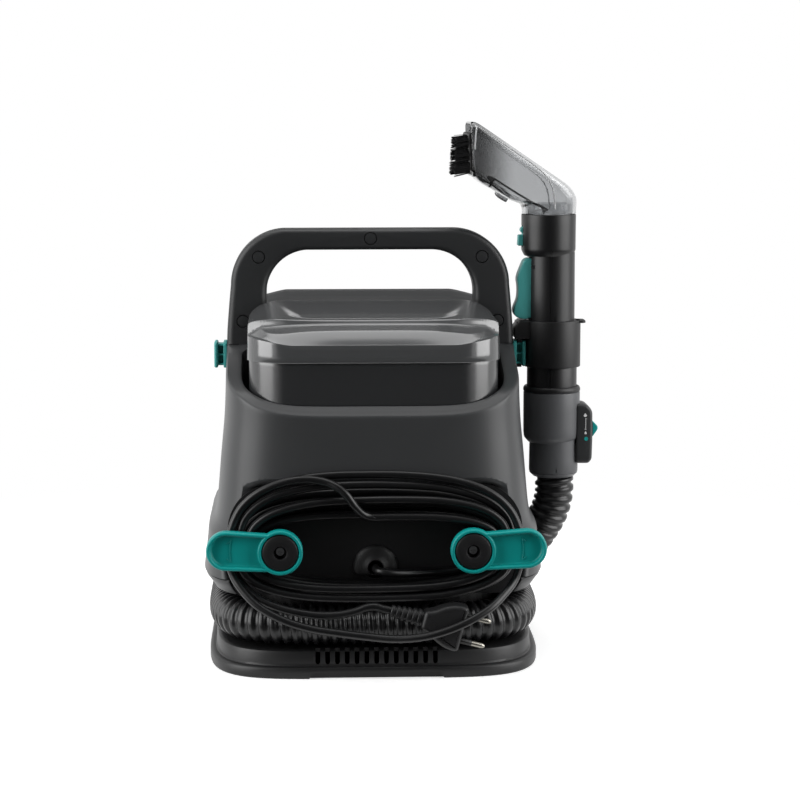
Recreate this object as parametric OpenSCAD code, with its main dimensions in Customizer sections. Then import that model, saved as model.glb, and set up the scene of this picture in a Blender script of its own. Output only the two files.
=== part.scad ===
// Spot extractor: a carry body with a clean tank behind the arch and a dirty tank before it,
// a ribbed hose wound in the groove over the base, a hand wand clipped to the side and a
// mains lead wound on two turning hooks.
// +Z is up, the origin is the middle of the base on the floor, -Y is the cord side and
// +X the wand side.

/* [Base] */
// Width of the base flange at the floor
base_w = 254; // [250:1:258]
// Depth of the base flange at the floor
base_d = 304; // [300:1:308]
// Height of the base pan's top edge
base_top = 21; // [20:0.5:22]
// Number of air slots in the rear wall of the base
vent_count = 13; // [5:2:15]
// Distance from one air slot to the next
vent_pitch = 7.3; // [6.5:0.1:7.6]

/* [Body] */
// Greatest width of the body, at its lower seam
body_w = 262; // [258:1:264]
// Depth of the body at its lower seam
body_d = 284; // [280:1:288]
// Height of the rim at the rear and the front of the tank wells
rim_z = 200; // [190:1:206]
// Height of the shoulders, where the arch stands
shoulder_z = 236; // [234:0.5:238]
// Wall thickness of the body's mouldings
wall = 3; // [2.5:0.5:3.5]

/* [Carry arch] */
// Height of the arch's top
arch_top = 326.5; // [320:0.5:335]
// Thickness of the hand bar
bar_t = 16.5; // [14:0.5:19]
// Depth of the arch from rear to front
arch_d = 28; // [24:1:30]

/* [Tanks] */
// Width of each tank
tank_w = 192; // [180:1:196]
// Height of each tank's wall
tank_h = 124; // [110:1:124]
// Thickness of the tanks' walls
tank_wall = 2.4; // [1.8:0.2:3]

/* [Hose] */
// Outer diameter of the hose over its ribs
hose_od = 31; // [29:0.5:31]
// Bore of the hose
hose_bore = 23; // [20:0.5:24]
// Distance from one rib to the next
rib_pitch = 7; // [6.5:0.5:9]

/* [Wand] */
// Outer diameter of the wand's head
head_od = 41.4; // [40:0.2:42]
// Diameter of the air way through the wand
airway_d = 22; // [18:1:22]
// Width of the nozzle's mouth
mouth_w = 66; // [60:1:80]

/* [Mains lead] */
// Diameter of the mains lead
cord_d = 6; // [5.5:0.1:6]
// Turns of the lead in one layer on the hooks
layer_turns = 2; // [1:1:2]

/* [Hidden] */
$fn = 48;

// Colours
shell_grey = "#4a4b4c";
dark_grey = "#333435";
soft_black = "#1b1b1c";
teal = "#008c8a";
pale_teal = "#46908c";
clear_grey = [0.6, 0.62, 0.63, 0.4];
metal = "#b9bcc0";

// Heights of the body's seams
groove_top = 58;
seam_z = 70;
deck_z = 112;

// The body's outer form: height, half width, half depth
body_form = [
    [seam_z, body_w / 2, body_d / 2],
    [90, body_w / 2 - 2.5, body_d / 2 - 2],
    [103, body_w / 2 - 4, body_d / 2 - 4],
    [109, body_w / 2 - 8, body_d / 2 - 6],
    [122, body_w / 2 - 10.5, body_d / 2 - 8],
    [156, body_w / 2 - 13.5, body_d / 2 - 10.5],
    [187, body_w / 2 - 16.4, body_d / 2 - 12],
    [218, body_w / 2 - 17.6, body_d / 2 - 13],
    [shoulder_z, body_w / 2 - 17.6, body_d / 2 - 13]];
ring_form = [
    [groove_top, body_w / 2 - 7.5, body_d / 2 - 7],
    [seam_z - 2, body_w / 2 - 0.5, body_d / 2],
    [seam_z, body_w / 2, body_d / 2]];
well_w = 104;
well_d = 121.5;

// Floor plate of the pan, its feet, and the places of the motor and the pump
pan_floor = 4;
foot_r = 10;
foot_h = 2.4;
motor_y = 12;
motor_z = 8;
pump_x = -66;
pump_y = 28;

// Where the lead is stored
panel_y = -122.5;
hook_x = 71.2;
hook_z = 97;
post_r = 12.9;
hook_front = -160;
gland_z = 79;

// Where the tanks stand
tank_back = 18;
tank_front = 119;
tank_top = deck_z + tank_h;

// Where the wand hangs
wand_x = 145.5;
cuff_x = 147.3;
riser_x = 148;
stud_z = 227;
bracket_z = [216, 253];
head_z = [254, 343.5];
trigger_pivot = [128.5, 0, 296];

// ---- Forms shared by several parts ----

// A round-cornered outline that follows the superellipse |x/a|^n + |y/b|^n = 1
function plan(a, b, n = 5, steps = 48) = [for (i = [0:steps - 1])
    let (c = cos(i * 360 / steps), s = sin(i * 360 / steps))
    [a * sign(c) * pow(abs(c), 2 / n), b * sign(s) * pow(abs(s), 2 / n)]];

// Triangles between neighbouring rings that have equal counts of points
function wall_faces(rings, sides, first = 0) = [for (k = [0:rings - 2]) for (i = [0:sides - 1])
    let (a = first + k * sides, j = (i + 1) % sides)
    each [[a + i, a + sides + i, a + sides + j], [a + i, a + sides + j, a + j]]];

// A closed solid through a list of rings
module skin(rings) {
    sides = len(rings[0]);
    last = (len(rings) - 1) * sides;
    floor_face = [for (i = [1:sides - 2]) [0, i, i + 1]];
    roof_face = [for (i = [1:sides - 2]) [last, last + i + 1, last + i]];
    polyhedron([for (r = rings) each r],
        concat(wall_faces(len(rings), sides), floor_face, roof_face));
}

// A solid through level superellipses: each row is height, half width, half depth
module loft(form, n = 5, steps = 48, inset = 0) {
    skin([for (f = form) [for (p = plan(f[1] - inset, f[2] - inset, n, steps))
        [p.x, p.y, f[0]]]]);
}

module slab(a, b, z0, z1, n = 5) {
    translate([0, 0, z0])
        linear_extrude(z1 - z0)
            polygon(plan(a, b, n));
}

// A rectangle with round corners, from its low corner to its high one
module rounded(x0, y0, x1, y1, r) {
    union() {
        translate([x0 + r, y0])
            square([x1 - x0 - 2 * r, y1 - y0]);
        translate([x0, y0 + r])
            square([x1 - x0, y1 - y0 - 2 * r]);
        for (x = [x0 + r, x1 - r])
            for (y = [y0 + r, y1 - r])
                translate([x, y])
                    circle(r);
    }
}

// A shape drawn in X and Z, stretched along Y from y0 to y1
module across(y0, y1) {
    translate([0, y1, 0])
        rotate([90, 0, 0])
            linear_extrude(y1 - y0)
                children();
}

// A shape drawn in Y and Z, stretched along X from x0 to x1
module along(x0, x1) {
    translate([x0, 0, 0])
        rotate([90, 0, 90])
            linear_extrude(x1 - x0)
                children();
}

module rod(r, z0, z1) {
    translate([0, 0, z0])
        cylinder(r = r, h = z1 - z0);
}

// A round bar along -Y from y0 back to y1
module post(r, y0, y1) {
    translate([0, y0, 0])
        rotate([90, 0, 0])
            cylinder(r = r, h = y0 - y1);
}

// ---- Paths and tubes ----

function unit(v) = v / norm(v);

function tangents(p) = [for (i = [0:len(p) - 1])
    unit(p[min(i + 1, len(p) - 1)] - p[max(i - 1, 0)])];

function carried(n, t) = unit(n - (n * t) * t);

// A normal at each point, carried along the path without twist
function normals(t, n0) = [for (i = 0, n = carried(n0, t[0]); i < len(t);
    i = i + 1, n = i < len(t) ? carried(n, t[i]) : n) n];

function ring(c, t, n, r, sides) = let (b = cross(t, n)) [for (i = [0:sides - 1])
    let (a = i * 360 / sides) c + r * (cos(a) * n + sin(a) * b)];

function tube_rings(p, t, n, r, sides) = [for (i = [0:len(p) - 1])
    ring(p[i], t[i], n[i], is_list(r) ? r[i] : r, sides)];

// A smooth curve through hand-chosen points, with k steps between two of them
function bend(a, b, c, d, t) = 0.5 * (2 * b + (c - a) * t
    + (2 * a - 5 * b + 4 * c - d) * t * t + (3 * b - a - 3 * c + d) * t * t * t);
function smooth(p, k) = [for (i = [0:len(p) - 2]) for (j = [0:k - 1])
    bend(p[max(i - 1, 0)], p[i], p[i + 1], p[min(i + 2, len(p) - 1)], j / k),
    p[len(p) - 1]];

// Distance walked along a path up to each of its points
function walked(p) = [for (i = 0, s = 0; i < len(p);
    i = i + 1, s = i < len(p) ? s + norm(p[i] - p[i - 1]) : s) s];

// The same path with its points evenly spaced
function even(p, count) = let (w = walked(p), long = w[len(w) - 1],
    tables = [for (k = [0:2]) [for (i = [0:len(p) - 1]) [w[i], p[i][k]]]])
    [for (i = [0:count - 1]) [for (k = [0:2]) lookup(long * i / (count - 1), tables[k])]];

function length_of(p) = let (w = walked(p)) w[len(w) - 1];

module tube(p, d, sides = 8, first = [0, 0, 1]) {
    t = tangents(p);
    skin(tube_rings(p, t, normals(t, first), d / 2, sides));
}

// A corrugated tube with a smooth bore: two outer rings to a rib, one inner ring to two ribs
module ribbed_tube(p, od, id, pitch, sides = 8, first = [0, 0, 1]) {
    ribs = 2 * floor(length_of(p) / pitch / 2);
    outer = even(p, 2 * ribs + 1);
    t = tangents(outer);
    n = normals(t, first);
    radii = [for (i = [0:2 * ribs]) i % 2 == 0 ? od / 2 - 1.6 : od / 2];
    skin_rings = tube_rings(outer, t, n, radii, sides);
    bore_rings = [for (i = [0:4:2 * ribs]) ring(outer[i], t[i], n[i], id / 2, sides)];
    inside = len(skin_rings) * sides;
    bore_faces = [for (f = wall_faces(len(bore_rings), sides, inside)) [f[0], f[2], f[1]]];
    last_out = (len(skin_rings) - 1) * sides;
    last_in = inside + (len(bore_rings) - 1) * sides;
    mouth = [for (i = [0:sides - 1]) let (j = (i + 1) % sides)
        each [[i, j, inside + i], [j, inside + j, inside + i],
            [last_out + i, last_in + i, last_out + j], [last_out + j, last_in + i, last_in + j]]];
    polyhedron(concat([for (r = skin_rings) each r], [for (r = bore_rings) each r]),
        concat(wall_faces(len(skin_rings), sides), bore_faces, mouth));
}

// ---- Base and lower body ----

// The floor pan: a flat floor, a low flange, a set-in wall, and a raised edge at the rear and the front
module base_pan() {
    slot_top = base_top + 1;
    color(soft_black)
    difference() {
        union() {
            slab(base_w / 2, base_d / 2, 0, 9);
            slab(base_w / 2 - 5, base_d / 2 - 4, 9, base_top);
        }
        // Hollow over the floor plate, with seats for the motor and the pump left standing
        difference() {
            slab(base_w / 2 - 8, base_d / 2 - 7, pan_floor, base_top - wall);
            translate([0, motor_y, 0])
                rod(13, 0, motor_z);
            translate([pump_x, pump_y, 0])
                rod(10, 0, base_top);
        }
        // Way through the middle for the machinery
        difference() {
            slab(88, 112, base_top - wall - 1, base_top + 1);
            translate([pump_x, pump_y, 0])
                rod(10, 0, base_top + 2);
        }
        // Pockets of the feet
        feet_places()
            rod(foot_r, -1, foot_h);
        // Raised edge between the corners
        for (y = [-base_d / 2 - 5, base_d / 2 - 4.5])
            across(y, y + 9.5)
                polygon([[-50, -1], [50, -1], [50, 1], [46, 5], [-46, 5], [-50, 1]]);
        // Air slots with round feet
        for (i = [0:vent_count - 1])
            translate([(i - (vent_count - 1) / 2) * vent_pitch, 0, 0])
                across(-base_d / 2 - 2, -base_d / 2 + 12) {
                    translate([-1.8, 12.2])
                        square([3.6, slot_top - 12.2]);
                    translate([0, 12.2])
                        circle(1.8, $fn = 16);
                }
    }
}

module feet_places() {
    for (x = [-88, 88])
        for (y = [-112, 112])
            translate([x, y, 0])
                children();
}

// Rubber pads let into the floor, flush with it
module rubber_feet() {
    color(soft_black)
    feet_places()
        rod(foot_r, 0, foot_h);
}

// The round wall at the back of the hose groove
module hose_core() {
    color(soft_black)
    difference() {
        slab(94, 118, base_top, groove_top);
        slab(94 - wall, 118 - wall, base_top - 1, groove_top + 1);
        // Way in for the hose port
        translate([80, -10, 39])
            rotate([0, 90, 0])
                cylinder(r = 13.2, h = 30);
    }
}

// Opening of the cord recess, drawn in X and Z
module recess_outline(grow = 0) {
    rounded(-111 - grow, 46, 111 + grow, 142 + grow, 34 + grow);
    translate([-96 - grow, 40])
        square([192 + 2 * grow, 60]);
}

module recess_cut(grow = 0) {
    across(-200, panel_y + 3 + grow)
        recess_outline();
}

// Channel in the body's side in which the hose rises to the wand
module riser_channel() {
    tube([riser_route[1], riser_route[3], riser_route[4], riser_route[5], riser_route[6],
        riser_route[7]], hose_od + 4, 14);
}

module lower_shell() {
    color(dark_grey)
    difference() {
        loft(ring_form);
        loft([[groove_top + wall, body_w / 2 - 11, body_d / 2 - 10],
            [seam_z - 2, body_w / 2 - 4, body_d / 2 - 3.5], [seam_z + 1, body_w / 2 - 4, body_d / 2 - 3.5]]);
        // Room for the fan and the core's top
        slab(88, 112, groove_top - 1, groove_top + wall + 1);
        recess_cut();
        riser_channel();
    }
}

// ---- Main shell ----

// Height of the rim against the distance from the arch, to the rear and to the front
rim_line = [[0, shoulder_z], [17, shoulder_z], [24, shoulder_z - 5], [50, rim_z + 19],
    [85, rim_z + 9], [112, rim_z + 3], [127, rim_z], [160, rim_z - 3]];

// How far the rim's outer edge lies under its inner one
rim_slope = [[0, 0], [17, 0], [40, 5]];

// A quarter of the body's outline, in shares of half its width and depth, with more points where
// the rim bends
side_shares = [0, 0.13, 0.19, 0.38, 0.52, 0.65, 0.76, 0.83];
rear_shares = [0.85, 0.79, 0.7, 0.55, 0.3, 0];
function quarter(n) = concat([for (t = side_shares) [pow(1 - pow(t, n), 1 / n), t]],
    [for (t = rear_shares) [t, pow(1 - pow(t, n), 1 / n)]]);
function all_round(q) = let (last = len(q) - 1) concat(q, [for (i = [last - 1:-1:0]) [-q[i].x, q[i].y]],
    [for (i = [1:last]) [-q[i].x, -q[i].y]], [for (i = [last - 1:-1:1]) [q[i].x, -q[i].y]]);

// Rings of the body. A level one has one height, and one that follows the rim lies under it by the
// rim's slope where it is at the outer edge, and by a distance
function level_ring(a, b, z) = [for (p = all_round(quarter(5))) [a * p.x, b * p.y, z]];
function rim_ring(a, b, n, outer = 0, under = 0, highest = 1000) =
    [for (p = all_round(quarter(n))) let (y = abs(b * p.y)) [a * p.x, b * p.y,
        min(highest, lookup(y, rim_line) - outer * lookup(y, rim_slope) - under)]];

module main_shell() {
    top = body_form[len(body_form) - 1];
    color(shell_grey)
    difference() {
        // The walls rise to the rim, and the rim's band slopes up from there to the wells
        skin(concat([for (f = body_form) if (f[0] < 190) level_ring(f[1], f[2], f[0])],
            [rim_ring(top[1], top[2], 5, 1, 3, 215), rim_ring(top[1], top[2], 5, 1),
                rim_ring(well_w - 5, well_d - 5, 6), rim_ring(well_w / 4, well_d / 4, 6)]));
        // Room for the machinery under the deck
        loft([[seam_z - 1, body_w / 2 - 4, body_d / 2 - 3.5], [90, body_w / 2 - 6.5, body_d / 2 - 5.5],
            [103, body_w / 2 - 8, body_d / 2 - 7.5], [deck_z, body_w / 2 - 13, body_d / 2 - 11]]);
        // Wells that take the tanks
        loft([[deck_z - 1, well_w, well_d], [shoulder_z + 1, well_w, well_d]], n = 6);
        recess_cut();
        riser_channel();
    }
}

module tank_deck() {
    color(dark_grey)
    difference() {
        slab(body_w / 2 - 13.6, body_d / 2 - 11.6, deck_z - 4, deck_z);
        // Cup for the clean tank's valve
        translate([-60, -70, 0])
            rod(9, deck_z - 5, deck_z + 1);
        // Air way from the dirty tank
        translate([0, 40, 0])
            rod(15, deck_z - 5, deck_z + 1);
        // The recess and the feet of the posts take its rear edge
        recess_cut(0.6);
        for (s = [-1, 1])
            translate([s * hook_x, 0, hook_z])
                post(14.5, panel_y + 8.5, panel_y - 20);
    }
}

// The hollow wall between the two wells, under the arch
module centre_spine() {
    top = shoulder_z;
    color(shell_grey)
    difference() {
        translate([-103.4, -15, deck_z])
            cube([206.8, 30, top - deck_z]);
        translate([-100.4, -12, deck_z - 1])
            cube([200.8, 24, top - deck_z - wall + 1]);
        // Slots for the feet of the arch
        for (s = [-1, 1])
            translate([s * 92 - 8.2, -9.2, top - wall - 1])
                cube([16.4, 18.4, wall + 2]);
        // Hole for the power button
        rod(11.3, top - wall - 1, top + 1);
    }
}

// ---- Cord store ----

module cord_panel() {
    color(soft_black)
    difference() {
        across(panel_y, panel_y + 2.6)
            intersection() {
                recess_outline(-0.4);
                translate([-112, groove_top])
                    square([224, 90]);
            }
        translate([0, 0, gland_z])
            post(9.05, panel_y + 5, panel_y - 5);
        for (s = [-1, 1])
            translate([s * hook_x, 0, hook_z])
                post(10.05, panel_y + 5, panel_y - 5);
    }
}

// Strain relief boss where the lead comes out, flat below so that the turns pass before it
module cord_gland() {
    color(soft_black)
    difference() {
        translate([0, panel_y, gland_z])
            rotate([90, 0, 0])
                rotate_extrude()
                    polygon([[0, -6], [12, -6], [12, -2.7], [9, -2.7], [9, 0], [17, 0], [16, 1.5],
                        [12, 3], [7, 4], [5.5, 5.5], [0, 5.5]]);
        translate([-20, panel_y - 8, gland_z - 20])
            cube([40, 6.8, 14.5]);
    }
}

// A fixed post: its foot goes through the panel, and its cap keeps the hook on
module hook_post(s) {
    color(soft_black)
    translate([s * hook_x, 0, hook_z])
        difference() {
            union() {
                post(14, panel_y + 8, panel_y + 2.7);
                post(10, panel_y + 2.7, panel_y);
                post(post_r, panel_y, hook_front + 4);
                post(13.5, hook_front + 4, hook_front + 0.6);
            }
            // Screw well with its screw hole
            post(4.6, hook_front + 9, hook_front - 1);
            post(1.65, hook_front + 30, hook_front);
        }
}

module hook_post_left() {
    hook_post(-1);
}

module hook_post_right() {
    hook_post(1);
}

module hook_screws() {
    color(metal)
    for (s = [-1, 1])
        translate([s * hook_x, 0, hook_z])
            difference() {
                union() {
                    post(3, hook_front + 9, hook_front + 6.6);
                    post(1.6, hook_front + 25, hook_front + 9);
                }
                // Cross recess
                for (a = [0, 90])
                    rotate([0, a, 0])
                        translate([-1.9, hook_front + 6, -0.4])
                            cube([3.8, 1.8, 0.8]);
            }
}

// A turning hook: a ring on the post and a dished paddle that keeps the lead from slipping off
module paddle_outline(grow) {
    reach = 42.5;
    hull() {
        translate([12, 0])
            square([0.1, 2 * 14.8 + 2 * grow], center = true);
        translate([reach, 0.4])
            circle(16.2 + grow);
    }
}

module cord_hook(s) {
    back = hook_front + 9;
    color(teal)
    translate([s * hook_x, 0, hook_z])
        mirror([s < 0 ? 1 : 0, 0, 0])
            difference() {
                union() {
                    post(16.7, back, hook_front);
                    across(hook_front, hook_front + 8.4)
                        paddle_outline(0);
                }
                // Dish of the paddle, leaving a raised rim
                difference() {
                    across(hook_front - 1, hook_front + 5.4)
                        paddle_outline(-3);
                    post(16.7, hook_front + 6, hook_front - 2);
                }
                post(post_r + 0.06, back + 1, hook_front - 1);
                post(13.9, hook_front + 4.4, hook_front - 1);
                // Hollow back, so that the paddle is a shell
                difference() {
                    across(hook_front + 6.6, hook_front + 10)
                        paddle_outline(-2);
                    post(16.7, back + 2, hook_front);
                }
            }
}

module cord_hook_left() {
    cord_hook(-1);
}

module cord_hook_right() {
    cord_hook(1);
}

// ---- Carry arch ----

// Outer and inner edge of the arch at each station, right side from the foot to the middle
arch_outer = concat([[113.4, shoulder_z], [113, 248], [111.4, 268]],
    [for (a = [0:9:90]) [66 + 44 * cos(a), arch_top - 44 + 44 * sin(a)]]);
arch_inner = concat([[82, shoulder_z], [82, 248], [82, 264]],
    [for (a = [0:9:90]) [48 + 34 * cos(a), arch_top - bar_t - 34 + 34 * sin(a)]]);

// One section of a half arch, from the joint face to the rounded outer face
function arch_ring(o, i, side) = let (w = o - i, long = norm(w), e = w / long, d = arch_d / 2,
    cut = [[0, 0], [0, d - 5], [1.5, d - 1.5], [5, d], [long - 5, d], [long - 1.5, d - 1.5],
        [long, d - 5], [long, 0]])
    [for (c = cut) [i.x + e.x * c[0], side * c[1], i.y + e.y * c[0]]];

function flipped(v) = [for (i = [len(v) - 1:-1:0]) v[i]];
function mirrored(v) = [for (p = v) [-p.x, p.y]];

module arch_half(side) {
    outer = concat(arch_outer, flipped(mirrored(arch_outer)));
    inner = concat(arch_inner, flipped(mirrored(arch_inner)));
    rings = [for (i = [0:len(outer) - 1]) arch_ring(outer[i], inner[i], side)];
    skin(side > 0 ? [for (r = rings) flipped(r)] : rings);
    // Tongues that stand in the spine
    for (s = [-1, 1])
        translate([s * 92 - 8, side < 0 ? -9 : 0, shoulder_z - 34])
            cube([16, 9, 34]);
}

plug_spots = [[0, arch_top - 7.5], [88, arch_top - 22], [-88, arch_top - 22],
    [100.5, 254], [-100.5, 254]];

module handle_rear() {
    color(dark_grey)
    difference() {
        arch_half(-1);
        for (p = plug_spots)
            translate([p.x, 0, p.y])
                post(4.75, -arch_d / 2 + 4, -arch_d / 2 - 1);
    }
}

module handle_front() {
    color(dark_grey)
    arch_half(1);
}

// Blanking plugs over the screws that hold the two halves of the arch
module handle_plugs() {
    color(soft_black)
    for (p = plug_spots)
        translate([p.x, 0, p.y])
            post(4.6, -arch_d / 2 + 4, -arch_d / 2 + 0.3);
}

// ---- Side studs ----

// A ribbed spool: two flanges, and a web with pockets, that the wand's bracket slides on
module side_stud(s) {
    root = 113.5;
    color(pale_teal)
    mirror([s < 0 ? 1 : 0, 0, 0])
        difference() {
            union() {
                along(root, root + 2.8)
                    rounded(-10, stud_z - 10.5, 10, stud_z + 10.5, 3);
                along(root + 2.8, root + 7.2)
                    rounded(-7, stud_z - 8.5, 7, stud_z + 8.5, 1.5);
                along(root + 7.2, root + 10.2)
                    rounded(-10, stud_z - 10.5, 10, stud_z + 10.5, 3);
            }
            // Pockets over and under the middle rib, from both faces
            for (y = [-8, 2.5])
                for (z = [stud_z - 7, stud_z + 0.7])
                    translate([root + 3.4, y, z])
                        cube([3.2, 5.5, 6.3]);
        }
}

module side_stud_left() {
    side_stud(-1);
}

module side_stud_right() {
    side_stud(1);
}

// ---- Machinery in the body ----

fan_z = 82;

module motor_can() {
    color(metal)
    translate([0, motor_y, 0])
        difference() {
            rotate_extrude()
                polygon([[0, motor_z], [14, motor_z], [14, 14], [40, 14], [43, 17], [43, 72], [40, 76], [14, 76],
                    [14, 79], [0, 79]]);
            rod(40, 17, 73);
            // Bearing seats and the shaft's way out
            rod(11.02, 10, 80);
            rod(5, 4, 80);
        }
}

module motor_bearings() {
    color(metal)
    translate([0, motor_y, 0])
        for (z = [10, 72])
            difference() {
                rod(11, z, z + 6);
                rod(4.04, z - 1, z + 7);
            }
}

module motor_shaft() {
    color(metal)
    translate([0, motor_y, 0]) {
        rod(4, 9, fan_z + 14);
        // Wound core on the shaft
        rod(24, 26, 62);
    }
}

module fan_impeller() {
    color(metal)
    translate([0, motor_y, fan_z]) {
        difference() {
            union() {
                rod(38, 1, 3);
                rod(9, 1, 13);
                // Backward-curved blades
                intersection() {
                    rod(37, 2, 12);
                    for (i = [0:7])
                        rotate(i * 45)
                            difference() {
                                translate([22, 0, 0])
                                    rod(18, 2.5, 12);
                                translate([22, 0, 0])
                                    rod(16.4, 2, 13);
                                translate([0, -40, 2])
                                    cube([44, 40, 11]);
                            }
                }
            }
            rod(4.0, 0, 14);
        }
    }
}

module fan_housing() {
    color(soft_black)
    translate([0, motor_y, 0])
        difference() {
            union() {
                rod(44, 79.2, 100);
                translate([36, 20, 79.2])
                    cube([30, 16, 18]);
            }
            rod(41, 81.2, 98);
            rod(13, 78, 82);
            // Eye of the fan
            rod(16, 97, 101);
            translate([34, 22, 81.2])
                cube([40, 12, 14]);
        }
}

module water_pump() {
    color(soft_black)
    translate([pump_x, pump_y, 0]) {
        translate([-14, -12, base_top])
            cube([28, 30, 33]);
        translate([0, 18, 39])
            rotate([-90, 0, 0])
                cylinder(r = 12, h = 34);
        for (x = [-7, 7])
            translate([x, -18, 39])
                rotate([-90, 0, 0])
                    cylinder(r = 3, h = 6);
    }
}

// Duct between the dirty tank's outlet and the eye of the fan
module suction_duct() {
    color(soft_black)
    difference() {
        hull() {
            translate([0, 40, 0])
                rod(19, 102, deck_z - 4.2, $fn = 32);
            translate([0, motor_y, 0])
                rod(19, 100.2, 102, $fn = 32);
        }
        hull() {
            translate([0, 40, 0])
                rod(15, 103.5, deck_z, $fn = 32);
            translate([0, motor_y, 0])
                rod(15, 98, 104, $fn = 32);
        }
    }
}

module switch_box() {
    color(soft_black)
    difference() {
        translate([-13, -9, shoulder_z - 28])
            cube([26, 18, 18]);
        rod(3.1, shoulder_z - 18, shoulder_z);
    }
}

module power_button() {
    color(pale_teal)
    difference() {
        union() {
            rod(11, shoulder_z - wall - 1, shoulder_z + 3);
            rod(3, shoulder_z - 14, shoulder_z - wall - 1);
        }
        // Finger dish
        translate([0, 0, shoulder_z + 22.5])
            sphere(21, $fn = 64);
    }
}

// ---- Tanks ----

// Outline of a tank, with a larger radius at its outer corners; s is -1 behind the arch
module tank_plan(s, inset = 0) {
    a = tank_w / 2 - inset;
    y0 = tank_back + inset;
    y1 = tank_front - inset;
    big = 31 - inset;
    small = 10 - inset;
    mirror([0, s < 0 ? 1 : 0])
        union() {
            translate([-a, y0 + small])
                square([2 * a, y1 - y0 - small - big]);
            translate([-a + small, y0])
                square([2 * (a - small), y1 - y0 - big]);
            translate([-a + big, y0 + 1])
                square([2 * (a - big), y1 - y0 - 1]);
            for (x = [-1, 1]) {
                translate([x * (a - big), y1 - big])
                    circle(big);
                translate([x * (a - small), y0 + small])
                    circle(small);
            }
        }
}

module tank_shell(s) {
    difference() {
        translate([0, 0, deck_z])
            linear_extrude(tank_h)
                tank_plan(s);
        translate([0, 0, deck_z + 2.6])
            linear_extrude(tank_h)
                tank_plan(s, tank_wall);
        children();
    }
}

module clean_tank() {
    color(clear_grey)
    tank_shell(-1)
        translate([-60, -70, 0])
            rod(7.1, deck_z - 1, deck_z + 4);
}

// Slope of the clean tank's lid towards the rear, in degrees
lid_slope = 6.05;

// Side view of the clean tank's lid: a sloping top, a step down and a rounded front edge
module lid_side(inset = 0) {
    i = inset;
    polygon([[-tank_back + 1 - i, tank_top - 1.5], [-tank_back + 1 - i, 272 - i], [-98, 263.4 - i],
        [-101, 259.4 - i], [-112, 256 - i], [-117 + i, 252.5 - i], [-120.5 + i, 246 - i],
        [-120.5 + i, tank_top - 1.5]]);
}

// Front view of the lid: its ends are rounded over
module lid_front(inset = 0) {
    a = 97.5 - inset;
    top = 272.2 - inset;
    intersection() {
        translate([-a, 230])
            square([2 * a, top - 230]);
        union() {
            translate([-a + 21, 230])
                square([2 * a - 42, top - 230]);
            translate([-a, 229])
                square([2 * a, top - 20 - 230]);
            for (s = [-1, 1])
                translate([s * (a - 21), top - 21])
                    circle(21);
        }
    }
}

module lid_block(inset) {
    intersection() {
        along(-110, 110)
            lid_side(inset);
        across(-140, 0)
            lid_front(inset);
        translate([0, 0, 220])
            linear_extrude(60)
                tank_plan(-1, inset - 1.5);
    }
}

// The dished filling panel, parallel to the sloping top
module lid_dish(depth, grow) {
    translate([0, -tank_back + 1, 272])
        rotate([lid_slope, 0, 0])
            translate([0, 0, -depth])
                linear_extrude(depth + 3)
                    rounded(-70 - grow, -76 - grow, 70 + grow, -7 + grow, 20 + grow);
}

module clean_lid() {
    color(clear_grey)
    difference() {
        lid_block(0);
        difference() {
            intersection() {
                lid_block(2);
                translate([-100, -140, tank_top])
                    cube([200, 140, 60]);
            }
            lid_dish(5.2, 2);
        }
        // The skirt goes round the tank's mouth
        translate([0, 0, tank_top - 3])
            linear_extrude(3)
                tank_plan(-1, -0.4);
        lid_dish(3.2, 0);
    }
}

module tank_valve_seat() {
    color(soft_black)
    translate([-60, -70, 0])
        difference() {
            union() {
                rod(7, deck_z - 3, deck_z + 2.6);
                rod(10, deck_z + 2.6, deck_z + 6);
                // Cage that the spring pushes against
                for (a = [0:120:240])
                    rotate(a)
                        translate([7.2, -1.5, deck_z + 5])
                            cube([2.4, 3, 13]);
                rod(9.8, deck_z + 17.4, deck_z + 19);
            }
            rod(3.06, deck_z - 4, deck_z + 20);
            rod(5, deck_z - 4, deck_z + 3.8);
        }
}

module tank_valve() {
    color(pale_teal)
    translate([-60, -70, 0]) {
        rod(3, deck_z - 2, deck_z + 20);
        rod(6, deck_z + 6.4, deck_z + 8.4);
        rod(4.4, deck_z - 2.6, deck_z - 0.6);
    }
}

// The coil that shuts the valve, kept under a cage on the seat
module valve_spring() {
    turns = 4;
    p = [for (i = [0:turns * 8]) [-60 + 4.3 * cos(i * 45), -70 + 4.3 * sin(i * 45),
        deck_z + 9 + i * 7.7 / turns / 8]];
    color(metal)
    tube(p, 0.9, 6);
}

module dirty_tank() {
    color([0.25, 0.26, 0.27, 0.55])
    tank_shell(1)
        translate([0, 40, 0])
            rod(12.1, deck_z - 1, deck_z + 4);
}

// Hood over the dirty tank, with a step for the fingers at its front
module dirty_lid() {
    hood = [[18, tank_top - 1.5], [18, 271], [70, 270.5], [101, 262], [117, 250], [120.5, 243],
        [120.5, tank_top - 1.5]];
    core = [[20.2, tank_top], [20.2, 268.6], [69.5, 268], [100, 260], [115.2, 248.6],
        [118.1, 242], [118.1, tank_top]];
    color(dark_grey)
    difference() {
        intersection() {
            along(-110, 110)
                polygon(hood);
            across(0, 140)
                lid_front(1);
            translate([0, 0, 220])
                linear_extrude(60)
                    tank_plan(1, -1.5);
        }
        intersection() {
            along(-110, 110)
                polygon(core);
            across(0, 140)
                lid_front(3.4);
            translate([0, 0, 220])
                linear_extrude(60)
                    tank_plan(1, 0.8);
        }
        translate([0, 0, tank_top - 3])
            linear_extrude(3)
                tank_plan(1, -0.4);
        // Finger recess
        translate([0, 121, 262])
            rotate([0, 90, 0])
                cylinder(r = 12, h = 70, center = true);
    }
}

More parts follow.
